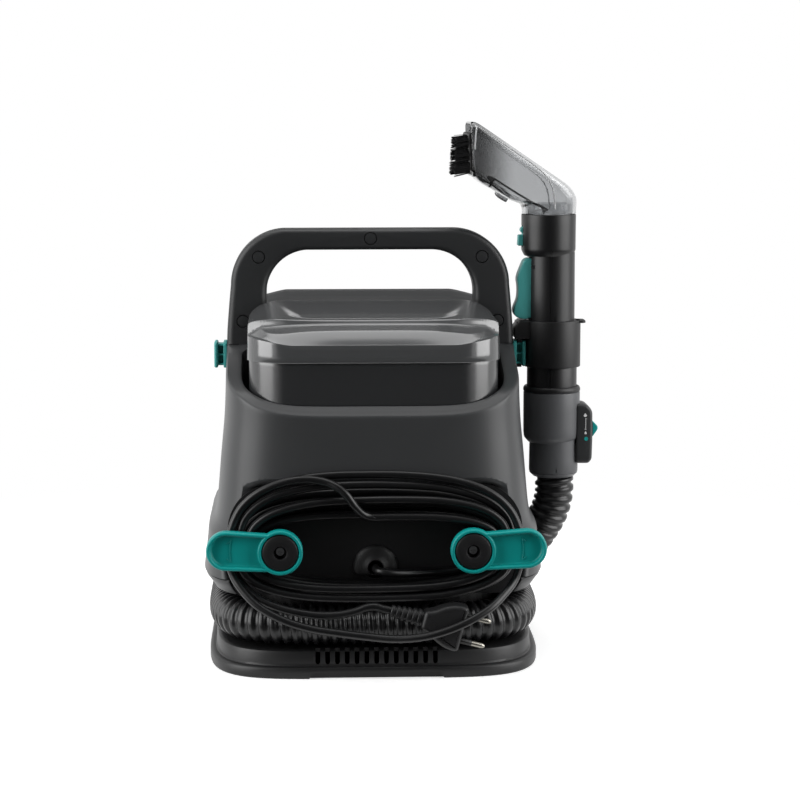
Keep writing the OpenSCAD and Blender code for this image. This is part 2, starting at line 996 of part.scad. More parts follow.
// Standpipe that carries the air from the tank's top down to the fan
module inlet_pipe() {
    color(soft_black)
    translate([0, 40, 0])
        difference() {
            union() {
                rod(12, deck_z - 3, deck_z + 2.6);
                rod(15, deck_z + 2.6, deck_z + 8);
                rod(12, deck_z + 8, 208);
            }
            rod(9.5, deck_z - 4, 209);
        }
}

// Cage over the pipe's mouth, in which the float rises and shuts the air off
module float_cage() {
    color(soft_black)
    translate([0, 40, 0]) {
        difference() {
            rod(19, 209, 243);
            rod(16.8, 211, 240);
            rod(9.5, 208, 212);
            // Windows between the bars
            for (a = [0:60:120])
                rotate(a)
                    translate([-25, -5, 214])
                        cube([50, 10, 20]);
            rod(7, 239, 244);
        }
        // Hanger up to the lid
        for (s = [-1, 1])
            translate([s * 14 - 2, -2, 243])
                cube([4, 4, 24.5]);
    }
}

module float_ball() {
    color(pale_teal)
    translate([0, 40, 0])
        difference() {
            rod(13, 213, 225);
            rod(11, 212, 222);
        }
}

// ---- Hose ----

// Middle line of the groove, and how high the hose's middle lies over the floor
groove_a = 112;
groove_b = 136;
hose_z = 38.5;
port_y = -10;

// The wound hose runs from the port on the wand's side round the rear, the far side and the front
function groove_point(a) = [groove_a * sign(cos(a)) * pow(abs(cos(a)), 0.4),
    groove_b * sign(sin(a)) * pow(abs(sin(a)), 0.4), hose_z];
hose_loop = concat([[groove_a, port_y - 15.8, hose_z]],
    [for (a = [-1.5:-1.5:-358.5])
        let (p = groove_point(a)) if (!(p.x > 0 && p.y > -40 && p.y < 66)) p],
    [[111.6, 58.6, hose_z]]);

// Then it rises through the notch to the cuff
riser_route = [[111.6, 57.7, hose_z], [111.6, 51, hose_z], [112, 43, 40], [114.5, 32, 46],
    [120, 21, 56.5], [128, 12, 69], [137, 5.5, 83], [144.5, 1.5, 98], [riser_x, 0, 113],
    [riser_x, 0, 128], [riser_x, 0, 146]];

module suction_hose() {
    color(soft_black)
    ribbed_tube(hose_loop, hose_od, hose_bore, rib_pitch);
}

module hose_riser() {
    color(soft_black)
    ribbed_tube(smooth(riser_route, 5), hose_od, hose_bore, rib_pitch);
}

// Elbow that takes the hose through the core's wall
module hose_port() {
    color(soft_black)
    difference() {
        union() {
            translate([70, port_y, 39])
                rotate([0, 90, 0])
                    cylinder(r = 13, h = 42);
            translate([112, port_y - 15.6, hose_z])
                rotate([-90, 0, 0])
                    cylinder(r = hose_od / 2, h = 30);
            translate([94.4, port_y - 13, 26])
                cube([18, 26, 26]);
        }
        translate([69, port_y, 39])
            rotate([0, 90, 0])
                cylinder(r = 10, h = 43);
        translate([112, port_y - 16, hose_z])
            rotate([-90, 0, 0])
                cylinder(r = hose_bore / 2, h = 27);
    }
}

// ---- Wand ----

module hose_cuff() {
    color(shell_grey)
    difference() {
        union() {
            // Lower sleeve round the hose's end
            translate([cuff_x, 0, 127])
                rotate_extrude()
                    polygon([[0, 0], [15.8, 0], [19.6, 4], [19.3, 32], [0, 32]]);
            // Upper sleeve round the wand
            translate([wand_x, 0, 155])
                rotate_extrude()
                    polygon([[0, 0], [18.5, 0], [22, 4], [22.6, 8], [22.6, 41], [0, 41]]);
        }
        // Socket for the hose, air way, and seat of the wand
        translate([riser_x, 0, 0])
            rod(hose_od / 2 + 0.4, 126, 147);
        translate([riser_x, 0, 0])
            rod(10.5, 146, 180);
        translate([wand_x, 0, 0])
            rod(20.05, 172, 197);
    }
}

module cuff_ring() {
    color(soft_black)
    translate([wand_x, 0, 0])
        difference() {
            rotate_extrude()
                polygon([[0, 196], [22.8, 196], [22.8, 198.6], [21.6, 200.4], [0, 200.4]]);
            rod(20.05, 195, 201);
        }
}

// Box of the flow control on the cuff's outer side
module control_box() {
    color(dark_grey)
    difference() {
        across(-13, 13)
            hull() {
                translate([170.5, 180])
                    circle(6.5, $fn = 32);
                translate([162, 138.5])
                    square([15, 3]);
                translate([162, 150])
                    square([15.4, 30]);
            }
        translate([wand_x, 0, 0])
            rod(22.8, 154.8, 197);
        translate([cuff_x, 0, 0])
            rod(19.8, 126, 159);
        // Slot for the slider
        translate([174, -3.3, 149])
            cube([6, 6.6, 27]);
    }
}

module flow_slider() {
    color(teal)
    union() {
        translate([174.3, -3, 160])
            cube([3.4, 6, 11]);
        across(-5, 5)
            polygon([[177.7, 159.5], [177.7, 171.5], [178.6, 171.5], [182.4, 167.5], [182.4, 165],
                [178.6, 159.5]]);
    }
}

// Wand body: a wide head on a slightly tapered grip, with an air way along its outer side
module wand_tube() {
    air_x = 149.3;
    color(soft_black)
    difference() {
        union() {
            translate([wand_x, 0, 0])
                rotate_extrude()
                    polygon([[0, 172], [20, 172], [19.9, bracket_z[0]], [19, bracket_z[0]],
                        [19, bracket_z[1]], [18.6, bracket_z[1]], [18.1, 302], [0, 302]]);
            translate([143.1, 0, 0])
                rotate_extrude()
                    polygon([[0, 299], [18.2, 299], [20.7, 304], [head_od / 2, head_z[1]], [0, head_z[1]]]);
        }
        translate([air_x, 0, 0])
            rod(airway_d / 2, 171, head_z[1] + 1);
        // Seat of the nozzle's neck
        translate([143.1, 0, 0])
            rod(18.1, 334, head_z[1] + 1);
        // Pocket behind the trigger
        translate([121, -9.2, 253.2])
            cube([15, 18.4, 50.3]);
        // Pocket of the latch
        translate([120, -5.2, 311.5])
            cube([9, 10.4, 17]);
        // Hole of the trigger's pin
        translate(trigger_pivot)
            rotate([90, 0, 0])
                cylinder(r = 1.55, h = 40, center = true);
    }
}

// Clip that hangs the wand on a side stud
module wand_bracket() {
    z0 = bracket_z[0];
    z1 = bracket_z[1];
    color(soft_black)
    difference() {
        union() {
            translate([wand_x, 0, 0])
                rod(22.6, z0, z1);
            // Thumb lip
            translate([wand_x, -9, z1 - 2])
                cube([26, 18, 2]);
            // Plate that goes between the stud's flanges
            along(116.6, 120.4)
                polygon([[-8, z0], [14, z0], [14, z1], [-5, z1], [-8, z1 - 3]]);
            // Block over the stud
            across(-12, 14)
                polygon([[114.2, 239], [114.2, z1 - 4], [117, z1], [128, z1], [128, 239]]);
            // Web from the plate to the sleeve, in front of the stud
            translate([118, 11, z0])
                cube([12, 3, z1 - z0]);
        }
        translate([wand_x, 0, 0])
            rod(19.05, z0 - 1, z1 + 1);
        // Slot for the stud's web
        translate([116, -13, stud_z - 8.8])
            cube([5, 20.4, 17.6]);
        // Room for the stud's outer flange
        translate([120.3, -13, stud_z - 10.9])
            cube([3.8, 23.4, 21.8]);
    }
}

// Finger lever: swings on a pin at its top
module trigger() {
    color(pale_teal)
    difference() {
        across(-8.8, 8.8)
            polygon([[125.6, 302.4], [122.5, 301.5], [119.6, 297.5], [117.6, 292], [116.4, 285],
                [117, 278], [116.2, 270.5], [113.8, 264.5], [113.4, 260], [115.6, 256.2],
                [119.4, 254.6], [126.2, 254.8], [127.5, 262], [127.8, 292], [131, 294], [131, 299],
                [128, 301.5]]);
        translate(trigger_pivot)
            rotate([90, 0, 0])
                cylinder(r = 1.56, h = 40, center = true);
    }
}

module trigger_pin() {
    color(metal)
    translate(trigger_pivot)
        rotate([90, 0, 0])
            cylinder(r = 1.5, h = 26, center = true);
}

// Catch that holds the nozzle on the head
module nozzle_latch() {
    color(pale_teal)
    across(-4.9, 4.9)
        polygon([[117, 312.4], [124, 312], [124, 327.6], [121.4, 327.6], [119.4, 326], [119.2, 323.2],
            [121, 321.6], [117.6, 320.8]]);
}

// Side view of the nozzle: a flat funnel that leans over to the brush
nozzle_back = [[163.8, 344], [162.6, 349], [159.5, 355.5], [155, 360.5], [150.5, 364.2], [81.5, 410.6]];
nozzle_belly = [[76.6, 407.5], [76, 400], [80.5, 367.5], [84, 363.2], [93, 358.5], [109, 348.6],
    [121.5, 344]];

// Half width of the nozzle at a distance x from the body: wide at the mouth, round at the neck
function nozzle_half(x) = x > 150 ? 20.4 : mouth_w / 2 - (mouth_w / 2 - 20.4) * pow((x - 76) / 74, 2);

module nozzle_block(inset) {
    n = inset;
    intersection() {
        across(-50, 50)
            offset(delta = -n)
                polygon(concat(nozzle_back, nozzle_belly));
        // Plan of the funnel
        translate([0, 0, 330])
            linear_extrude(90)
                offset(delta = -n)
                    polygon(concat([for (x = [76:8:164]) [x, -nozzle_half(x)]],
                        [for (x = [164:-8:76]) [x, nozzle_half(x)]]));
    }
}

module nozzle() {
    color(clear_grey)
    difference() {
        union() {
            nozzle_block(0);
            // Neck that goes into the head
            translate([143.1, 0, 0])
                rod(18, 335, 344.2);
        }
        nozzle_block(2.4);
        translate([143.1, 0, 0])
            rod(15.8, 334, 348);
        // Mouth between the lips
        across(-mouth_w / 2 + 5, mouth_w / 2 - 5)
            polygon([[70, 402], [84, 403.5], [90, 372], [74, 370]]);
        // Seats of the brush bar and of the spray jet
        across(-31.2, 31.2)
            polygon([[79.2, 402.3], [70, 402.3], [70, 370.8], [81.2, 370.8]]);
        spray_place()
            rod(4.05, -9.2, 8);
    }
}

module nozzle_seal() {
    color(soft_black)
    translate([143.1, 0, 0])
        difference() {
            rod(18.05, 334.0, 334.9);
            rod(15.8, 333, 336);
        }
}

module spray_place() {
    translate([98, 0, 351.8])
        rotate([0, -60, 0])
            children();
}

// Spray jet under the funnel
module spray_tip() {
    color(soft_black)
    spray_place()
        difference() {
            rotate_extrude()
                polygon([[0, -9], [4, -9], [4, 4], [2.6, 7], [0, 7]]);
            rod(1, -10, 8);
        }
}

// Brush bar with its tufts
module brush() {
    bar = [[78.9, 402], [75.3, 401], [77.2, 372], [80.9, 371]];
    color(soft_black)
    union() {
        difference() {
            across(-31, 31)
                polygon(bar);
            across(-25, 25)
                translate([70, 378])
                    square([20, 16]);
        }
        // Tufts: three rows on each of the two lips
        for (y = [-27, 27])
            for (k = [0:2])
                translate([77, y, 376 + k * 10.6])
                    rotate([0, -94, 0])
                        cylinder(r = 4, h = 14, $fn = 12);
        for (y = [-17:8.5:17])
            for (k = [0, 2])
                translate([77, y, 375 + k * 11])
                    rotate([0, -94, 0])
                        cylinder(r = 3.4, h = 13, $fn = 12);
    }
}

// ---- Mains lead ----

// Place of the winding, its pitches, and the heights of its runs over and under the posts
wind_base = 18.4;
wind_pitch = 6.7;
layer_pitch = 6.5;
layers = 4;
wind_turns = layers * layer_turns;

// Turns spiral out, then in, and climb a layer in the half turn where the spiral turns back
function spiral(u) = let (k = floor(u / layer_turns), f = u - k * layer_turns)
    u < 0 ? u : k % 2 == 0 ? f : layer_turns - f;
function climb(u) = let (k = round(u / layer_turns), d = u - k * layer_turns)
    k < 1 ? 0 : k >= layers ? layers - 1 : abs(d) >= 0.25 ? k - (d < 0 ? 1 : 0)
    : k - 0.5 + 0.5 * sin(d * 360);
function wind_point(u) = let (q = spiral(u), w = climb(u), a = 90 + 360 * u,
    c = cos(a), s = sin(a), top = 24 + (7.3 + 1.9 * w) * q, low = 26.6 + 7.1 * q)
    [(hook_x + wind_base + wind_pitch * q) * sign(c) * pow(abs(c), 0.7), -127 - layer_pitch * w,
        hook_z + (s > 0 ? top : low) * sign(s) * pow(abs(s), 0.7)];
wind_line = [for (i = [0:24 * wind_turns]) wind_point(i / 24)];

// Least room between turns, measured on the middle line
wind_gap = min([for (i = [0:len(wind_line) - 1]) for (j = [i + 8:1:len(wind_line) - 1])
    norm(wind_line[i] - wind_line[j])]) - cord_d;
echo(str("least gap between turns of the lead: ", wind_gap, " mm"));

// From the gland over the inner turns, and up round the right post
lead_route = concat([[0, -128, gland_z], [0, -134.2, gland_z], [2.4, -138.6, 78.6],
    [8.5, -140.6, 77.8], [17, -138.6, 76.8], [27, -134.2, 76], [37, -130, 75.5], [45, -127.6, 75.3]],
    [for (i = [-10:-1]) wind_point(i / 24)], [[0.2, -127, 121]]);

// From the winding's front out between the hooks, twice round the outside, and to the plug
tail_route = [[-0.2, -146.5, 121], [-4, -146.6, 121.2],
    [-9, -148, 123], [-13.5, -150.6, 127], [-17.5, -153.2, 132.2], [-21.5, -154, 138], [-28, -152.4, 143.8],
    [-37, -149.4, 147.8], [-49, -148, 149.8], [-62, -147.9, 149], [-76, -147.7, 145.2], [-89, -147.5, 138.4],
    [-99.5, -147.4, 128.8], [-106, -147.3, 116], [-108.6, -147.3, 103], [-108.4, -147.5, 90],
    [-106.6, -148.2, 80], [-100, -153.4, 69.5], [-88, -160, 58], [-70, -165, 48.5], [-50, -166, 42],
    [-28, -165.5, 38], [-8, -166.5, 35.5], [10, -170, 34.5], [28, -174, 36], [45, -176.5, 40],
    [64, -175.5, 47], [82, -169, 56], [94.5, -158.5, 65.5], [101.5, -151, 72.5], [105, -148, 80],
    [107, -147, 90], [107.2, -146.8, 101], [104.9, -146.8, 113.5], [99, -146.6, 125.5],
    [88, -146, 136], [72, -145, 144], [50, -143.6, 149.3], [22, -142.3, 151.9],
    [-8, -141.6, 152.3], [-36, -141.2, 151.6], [-60, -141, 148.3], [-80, -140.6, 141.5],
    [-94.5, -140.3, 131.5], [-103.5, -140.2, 119], [-107.8, -140.2, 106], [-108.3, -140.3, 93],
    [-105.6, -140.6, 81], [-99.5, -145, 71.5], [-87, -152.4, 61.5], [-70, -157, 55], [-50, -159, 51],
    [-32, -160.5, 50.5], [-18, -161.5, 53], [-8.5, -162, 56.3], [-1.62, -162, 57],
    [4.19, -162, 55.5], [10, -162, 54]];

module cord_lead() {
    color(soft_black)
    tube(lead_route, cord_d);
}

module cord_hank() {
    color(soft_black)
    tube(wind_line, cord_d, sides = 6);
}

module cord_tail() {
    color(soft_black)
    tube(tail_route, cord_d, first = [0, 1, 0]);
}

// The plug's own frame: +X towards the pins, tipped down to the right
module plug_place() {
    translate([10, -162, 54])
        rotate([0, 14.5, 0])
            children();
}

module plug_relief() {
    color(soft_black)
    plug_place()
        difference() {
            rotate([0, 90, 0])
                rotate_extrude()
                    polygon(concat([[0, 0]], [for (i = [0:5]) each [[4.6 + i * 0.4, 4 * i],
                        [4.6 + i * 0.4, 4 * i + 2.6], [3.8 + i * 0.4, 4 * i + 2.6], [3.8 + i * 0.4, 4 * i + 4]]],
                        [[0, 24]]));
        }
}

// Flat two-pin plug with a waisted grip
module plug_body() {
    color(soft_black)
    plug_place()
        difference() {
            across(-8.5, 8.5)
                polygon([[24, -7], [30, -8.5], [36, -13], [44, -16.5], [51, -17.5], [55, -16], [55, 16],
                    [51, 17.5], [44, 16.5], [36, 13], [30, 8.5], [24, 7]]);
            for (z = [-9.5, 9.5])
                translate([50, 0, z])
                    rotate([0, 90, 0])
                        cylinder(r = 2.02, h = 6);
        }
}

module plug_pins() {
    color(metal)
    plug_place()
        for (z = [-9.5, 9.5])
            translate([0, 0, z])
                rotate([0, 90, 0]) {
                    rod(2, 50, 72);
                    translate([0, 0, 72])
                        cylinder(r1 = 2, r2 = 1.2, h = 2);
                }
}

base_pan();
rubber_feet();
hose_core();
lower_shell();
main_shell();
tank_deck();
centre_spine();
cord_panel();
cord_gland();
hook_post_left();
hook_post_right();
hook_screws();
cord_hook_left();
cord_hook_right();
handle_rear();
handle_front();
handle_plugs();
side_stud_left();
side_stud_right();
motor_can();
motor_bearings();
motor_shaft();
fan_impeller();
fan_housing();
water_pump();
suction_duct();
switch_box();
power_button();
clean_tank();
clean_lid();
tank_valve_seat();
tank_valve();
valve_spring();
dirty_tank();
dirty_lid();
inlet_pipe();
float_cage();
float_ball();
hose_port();
suction_hose();
hose_riser();
hose_cuff();
cuff_ring();
control_box();
flow_slider();
wand_tube();
wand_bracket();
trigger();
trigger_pin();
nozzle_latch();
nozzle();
nozzle_seal();
spray_tip();
brush();
cord_lead();
cord_hank();
cord_tail();
plug_relief();
plug_body();
plug_pins();
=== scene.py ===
"""Spot extractor: the looks of a portable carpet and upholstery cleaner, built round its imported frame.

The sections follow the machine as it is put together. Lengths are in millimetres up to `piece`,
which turns them into metres. -Y is the cord side, +X the side that carries the wand.
"""

import bmesh
import bpy
import numpy as np
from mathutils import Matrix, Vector


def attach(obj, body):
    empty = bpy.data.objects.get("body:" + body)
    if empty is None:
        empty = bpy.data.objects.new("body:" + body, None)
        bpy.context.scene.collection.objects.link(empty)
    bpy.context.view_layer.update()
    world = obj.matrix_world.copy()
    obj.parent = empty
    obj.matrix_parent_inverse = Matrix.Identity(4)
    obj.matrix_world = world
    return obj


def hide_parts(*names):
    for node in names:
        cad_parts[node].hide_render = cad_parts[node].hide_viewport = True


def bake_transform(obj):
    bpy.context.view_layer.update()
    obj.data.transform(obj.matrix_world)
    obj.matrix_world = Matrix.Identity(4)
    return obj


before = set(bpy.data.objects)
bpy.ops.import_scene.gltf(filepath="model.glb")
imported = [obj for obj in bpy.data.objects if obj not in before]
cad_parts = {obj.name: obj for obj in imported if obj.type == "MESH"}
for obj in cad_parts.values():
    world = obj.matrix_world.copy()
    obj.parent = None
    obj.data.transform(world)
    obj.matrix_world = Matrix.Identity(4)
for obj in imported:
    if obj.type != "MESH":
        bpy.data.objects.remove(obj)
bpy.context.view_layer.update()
MM = 0.001

# ---- Camera and studio ----
# A long lens a little above the machine looks at its cord side. Two tall softboxes light it from
# the sides and a weaker one from above. Dark cards stand before, behind and over it, and one lies on
# the floor. The pale floor runs out into a white background.

aim = np.array([23.8, 0, 189]) * MM
camera_distance = 1.8
camera_turn, camera_rise = np.radians([-2.5, 7.5])
focal_px, image_px, sensor = 2250, 800, 36
toward_camera = np.array([np.sin(camera_turn) * np.cos(camera_rise),
                          -np.cos(camera_turn) * np.cos(camera_rise), np.sin(camera_rise)])


def put(name, data, place=(0, 0, 0), look_at=None):
    """An object with that data in the scene, its -Z turned towards look_at."""
    obj = bpy.data.objects.new(name, data)
    bpy.context.scene.collection.objects.link(obj)
    obj.location = place
    if look_at is not None:
        heading = Vector(look_at) - Vector(place)
        obj.rotation_euler = heading.to_track_quat("-Z", "Y").to_euler()
    return obj


camera = put("camera", bpy.data.cameras.new("camera"), aim + camera_distance * toward_camera, aim)
camera.data.sensor_width = sensor
camera.data.lens = sensor * focal_px / image_px
bpy.context.scene.camera = camera
bpy.context.scene.view_settings.view_transform = "Standard"


def softbox(name, place, width, height, watts):
    """A rectangular area lamp that looks at the middle of the machine."""
    lamp = bpy.data.lights.new(name, "AREA")
    lamp.shape = "RECTANGLE"
    lamp.size, lamp.size_y, lamp.energy = width, height, watts
    return put(name, lamp, place, (0, 0, 0.2))


softbox("left_softbox", (-1.6, -0.62, 0.75), 1.5, 1.9, 40)
softbox("right_softbox", (1.7, -0.62, 0.75), 1.5, 1.9, 40)
softbox("top_softbox", (0.0, 0.25, 1.9), 1.5, 1.9, 24)


def four_cornered(name, corners, material):
    """The mesh of one flat face."""
    mesh = bpy.data.meshes.new(name)
    mesh.from_pydata(corners, [], [(0, 1, 2, 3)])
    mesh.materials.append(material)
    return mesh


def dark_card(name, corners):
    """A black flag outside the picture, so that the machine's dark plastic has something dark to mirror."""
    mat = bpy.data.materials.new(name)
    mat.use_nodes = True
    shader = mat.node_tree.nodes["Principled BSDF"]
    shader.inputs["Base Color"].default_value = (0.02, 0.02, 0.02, 1)
    shader.inputs["Roughness"].default_value = 1.0
    card = put(name, four_cornered(name, corners, mat))
    card.visible_camera = card.visible_transmission = card.visible_shadow = False


dark_card("front_card", [(-1.7, -2.4, 0), (1.7, -2.4, 0), (1.7, -2.4, 2.3), (-1.7, -2.4, 2.3)])
dark_card("floor_card", [(-0.9, -2.4, 0.002), (0.9, -2.4, 0.002), (0.9, -0.2, 0.002), (-0.9, -0.2, 0.002)])
dark_card("upper_card", [(-1.1, -2.4, 2.4), (1.1, -2.4, 2.4), (1.1, 1.9, 2.4), (-1.1, 1.9, 2.4)])
dark_card("back_card", [(-0.8, 1.9, 0.72), (0.8, 1.9, 0.72), (0.8, 1.9, 2.4), (-0.8, 1.9, 2.4)])


def shader_node(tree, kind, **values):
    """A shader node, with those values set on its own sockets."""
    made = tree.nodes.new("ShaderNode" + kind)
    for socket, value in values.items():
        made.inputs[socket.replace("_", " ")].default_value = value
    return made


def linked(tree, *pairs):
    """Links each source socket to its target."""
    for source, target in pairs:
        tree.links.new(source, target)


def seen_share(tree):
    """1 on rays that show the background: from the camera, in a reflection, or through glass."""
    rays = shader_node(tree, "LightPath")
    first, second = shader_node(tree, "Math"), shader_node(tree, "Math")
    first.operation = second.operation = "MAXIMUM"
    linked(tree, (rays.outputs["Is Camera Ray"], first.inputs[0]),
           (rays.outputs["Is Glossy Ray"], first.inputs[1]), (first.outputs[0], second.inputs[0]),
           (rays.outputs["Is Transmission Ray"], second.inputs[1]))
    return second.outputs[0]


world = bpy.data.worlds.new("studio")
bpy.context.scene.world = world
world.use_nodes = True
sky = world.node_tree
sky.nodes.clear()
white = (1, 1, 1, 1)
room_light = shader_node(sky, "Background", Color=white, Strength=0.11)
white_beyond = shader_node(sky, "Background", Color=white, Strength=1.0)
sky_mix, sky_out = shader_node(sky, "MixShader"), shader_node(sky, "OutputWorld")
linked(sky, (seen_share(sky), sky_mix.inputs[0]), (room_light.outputs[0], sky_mix.inputs[1]),
       (white_beyond.outputs[0], sky_mix.inputs[2]), (sky_mix.outputs[0], sky_out.inputs[0]))


def floor_material():
    """Pale paint near the machine, where its shadow falls, that turns into the white background."""
    mat = bpy.data.materials.new("pale_floor")
    mat.use_nodes = True
    tree = mat.node_tree
    tree.nodes.clear()
    paint = shader_node(tree, "BsdfDiffuse", Color=(0.82, 0.82, 0.82, 1))
    lift = shader_node(tree, "Emission", Strength=0.5)
    near, far = shader_node(tree, "AddShader"), shader_node(tree, "Emission", Strength=1.0)
    where, distance = shader_node(tree, "TexCoord"), shader_node(tree, "VectorMath")
    distance.operation = "LENGTH"
    fade = shader_node(tree, "MapRange", From_Min=0.22, From_Max=0.75)
    fade.interpolation_type = "SMOOTHSTEP"
    shown, by_ray = shader_node(tree, "MixShader"), shader_node(tree, "MixShader")
    out = shader_node(tree, "OutputMaterial")
    linked(tree, (where.outputs["Object"], distance.inputs[0]),
           (distance.outputs["Value"], fade.inputs["Value"]), (fade.outputs[0], shown.inputs[0]),
           (paint.outputs[0], near.inputs[0]), (lift.outputs[0], near.inputs[1]),
           (near.outputs[0], shown.inputs[1]), (far.outputs[0], shown.inputs[2]),
           (seen_share(tree), by_ray.inputs[0]), (paint.outputs[0], by_ray.inputs[1]),
           (shown.outputs[0], by_ray.inputs[2]), (by_ray.outputs[0], out.inputs[0]))
    return mat


floor_half = 6.0
floor_corners = [(x * floor_half, y * floor_half, 0) for x, y in ((-1, -1), (1, -1), (1, 1), (-1, 1))]
put("floor", four_cornered("floor", floor_corners, floor_material()))

# ---- Mains lead ----
# Flexible black PVC lead, 6 mm thick and about 4.7 m long. It leaves a boss between the hooks, lies
# in four layers of two turns round the hook posts. Its last stretch goes one and a half times round.


def shade(code):
    """A display colour such as 0x4a4b4c as linear red, green and blue."""
    parts = np.array([code >> 16 & 255, code >> 8 & 255, code & 255]) / 255
    return np.where(parts <= 0.04045, parts / 12.92, ((parts + 0.055) / 1.055) ** 2.4)


def moulded(name, code, roughness, grain=0.12, grain_mm=0.5, mottle=0.07, **sockets):
    """Moulded plastic, rubber or plated metal: noise on Object coordinates gives a fine grain, and a
    slower noise shifts tone and gloss a little. Further sockets of the shader are set as they are."""
    colour = shade(code)
    mat = bpy.data.materials.new(name)
    mat.use_nodes = True
    tree = mat.node_tree
    shader = tree.nodes["Principled BSDF"]
    shader.inputs["Specular IOR Level"].default_value = 0.38
    for socket, value in sockets.items():
        shader.inputs[socket.replace("_", " ")].default_value = value
    place = shader_node(tree, "TexCoord").outputs["Object"]
    slow = shader_node(tree, "TexNoise", Scale=16, Detail=4)
    fine = shader_node(tree, "TexNoise", Scale=1 / (grain_mm * MM), Detail=2)
    tone = shader_node(tree, "Mix")
    tone.data_type = "RGBA"
    tone.inputs["A"].default_value = (*(colour * (1 - mottle)), 1)
    tone.inputs["B"].default_value = (*(colour * (1 + mottle)), 1)
    gloss = shader_node(tree, "MapRange", To_Min=roughness * 0.86, To_Max=min(1.0, roughness * 1.14))
    bump = shader_node(tree, "Bump", Strength=grain, Distance=0.1 * MM)
    linked(tree, (place, slow.inputs["Vector"]), (place, fine.inputs["Vector"]),
           (slow.outputs["Fac"], tone.inputs["Factor"]),
           (tone.outputs["Result"], shader.inputs["Base Color"]),
           (slow.outputs["Fac"], gloss.inputs["Value"]), (gloss.outputs[0], shader.inputs["Roughness"]),
           (fine.outputs["Fac"], bump.inputs["Height"]), (bump.outputs[0], shader.inputs["Normal"]))
    return mat


def casing(name, code, roughness, **sockets):
    """The grained, even plastic of the grey parts: housing, ring, arch, hood, cuff and control box."""
    return moulded(name, code, roughness, grain=0.22, grain_mm=0.5, mottle=0.03, **sockets)


def tile(points, wrap_rows=False, capped=False):
    """Vertices and faces of a grid of points, rows x columns x 3, whose rows are closed rings: each face
    joins two neighbours of a row to the two beside them in the next."""
    rows, columns = points.shape[:2]
    r = np.arange(rows if wrap_rows else rows - 1)[:, None]
    c = np.arange(columns)[None, :]
    r_next, c_next = (r + 1) % rows, (c + 1) % columns
    quads = np.stack([r * columns + c, r * columns + c_next, r_next * columns + c_next,
                      r_next * columns + c], -1).reshape(-1, 4).tolist()
    if capped:
        quads += [list(range(columns))[::-1], list(range((rows - 1) * columns, rows * columns))]
    return points.reshape(-1, 3), quads


def solid(points):
    """A tile whose first and last rows are closed by a flat face."""
    return tile(points, capped=True)


def hollow(points):
    """A tile whose last row joins its first, as on a shell with an outside and an inside."""
    return tile(points, wrap_rows=True)


def raised(outline, height):
    """A flat outline in X and Y at a height, which may differ from point to point."""
    return np.column_stack([outline, np.broadcast_to(height, len(outline))])


def upright(outline, y):
    """An outline drawn in X and Z at a depth, which may differ from point to point."""
    return np.insert(outline, 1, y, axis=1)


def mesh_of(name, tiles):
    """One mesh of several tiles, in metres, with doubles merged and faces turned outwards."""
    starts = np.cumsum([0] + [len(points) for points, _ in tiles])
    faces = [[i + int(start) for i in face] for (_, quads), start in zip(tiles, starts) for face in quads]
    mesh = bpy.data.meshes.new(name)
    mesh.from_pydata((np.vstack([points for points, _ in tiles]) * MM).tolist(), [], faces)
    work = bmesh.new()
    work.from_mesh(mesh)
    bmesh.ops.remove_doubles(work, verts=work.verts, dist=2e-6)
    bmesh.ops.recalc_face_normals(work, faces=work.faces)
    work.to_mesh(mesh)
    work.free()
    return mesh


def cut(obj, cutters):
    """Takes the solids of the cutters' tiles out of an object's mesh."""
    for k, tiles in enumerate(cutters):
        cutter = put(f"cutter_{k}", mesh_of("cutter", tiles))
        taken = obj.modifiers.new("cut", "BOOLEAN")
        taken.operation, taken.solver, taken.object = "DIFFERENCE", "EXACT", cutter
        bpy.context.view_layer.update()
        graph = bpy.context.evaluated_depsgraph_get()
        whole = bpy.data.meshes.new_from_object(obj.evaluated_get(graph))
        obj.modifiers.clear()
        obj.data = whole
        bpy.data.objects.remove(cutter)


def piece(name, tiles, material, body, stands_for=(), crease=38, cutters=()):
    """A finished piece: its tiles as one smooth-shaded mesh with edges over the crease angle kept sharp."""
    obj = put(name, mesh_of(name, tiles))
    cut(obj, cutters)
    obj.data.name = name
    obj.data.materials.clear()
    obj.data.materials.append(material)
    obj.data.shade_smooth()
    obj.data.set_sharp_from_angle(angle=np.radians(crease))
    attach(obj, body)
    if stands_for:
        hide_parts(*stands_for)
    return obj


def finish_nodes(material, *nodes):
    """Gives CAD nodes that stay in view their material."""
    for node in nodes:
        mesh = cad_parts[node].data
        mesh.materials.clear()
        mesh.materials.append(material)


def smooth(points, steps):
    """Catmull-Rom curve: a cubic between two points that leaves each along its neighbours' chord."""
    p = np.asarray(points, float)
    padded = np.vstack([p[:1], p, p[-1:]])
    a, b, c, d = (padded[k:len(padded) - 3 + k, None, :] for k in range(4))
    t = (np.arange(steps) / steps)[None, :, None]
    curve = 0.5 * (2 * b + (c - a) * t + (2 * a - 5 * b + 4 * c - d) * t ** 2
                   + (3 * b - a - 3 * c + d) * t ** 3)
    return np.vstack([curve.reshape(-1, p.shape[1]), p[-1:]])


def walked(path):
    """The length gone along a path at each of its points."""
    return np.concatenate([[0], np.cumsum(np.linalg.norm(np.diff(path, axis=0), axis=1))])


def even(path, step):
    """The same path with its points an equal step apart."""
    length = walked(path)
    at = np.linspace(0, length[-1], int(round(length[-1] / step)) + 1)
    return np.stack([np.interp(at, length, column) for column in path.T], -1)


def signed_power(value, power):
    """The size of a sine or cosine to a power, with its sign kept: it squares off a circle."""
    return np.sign(value) * np.abs(value) ** power


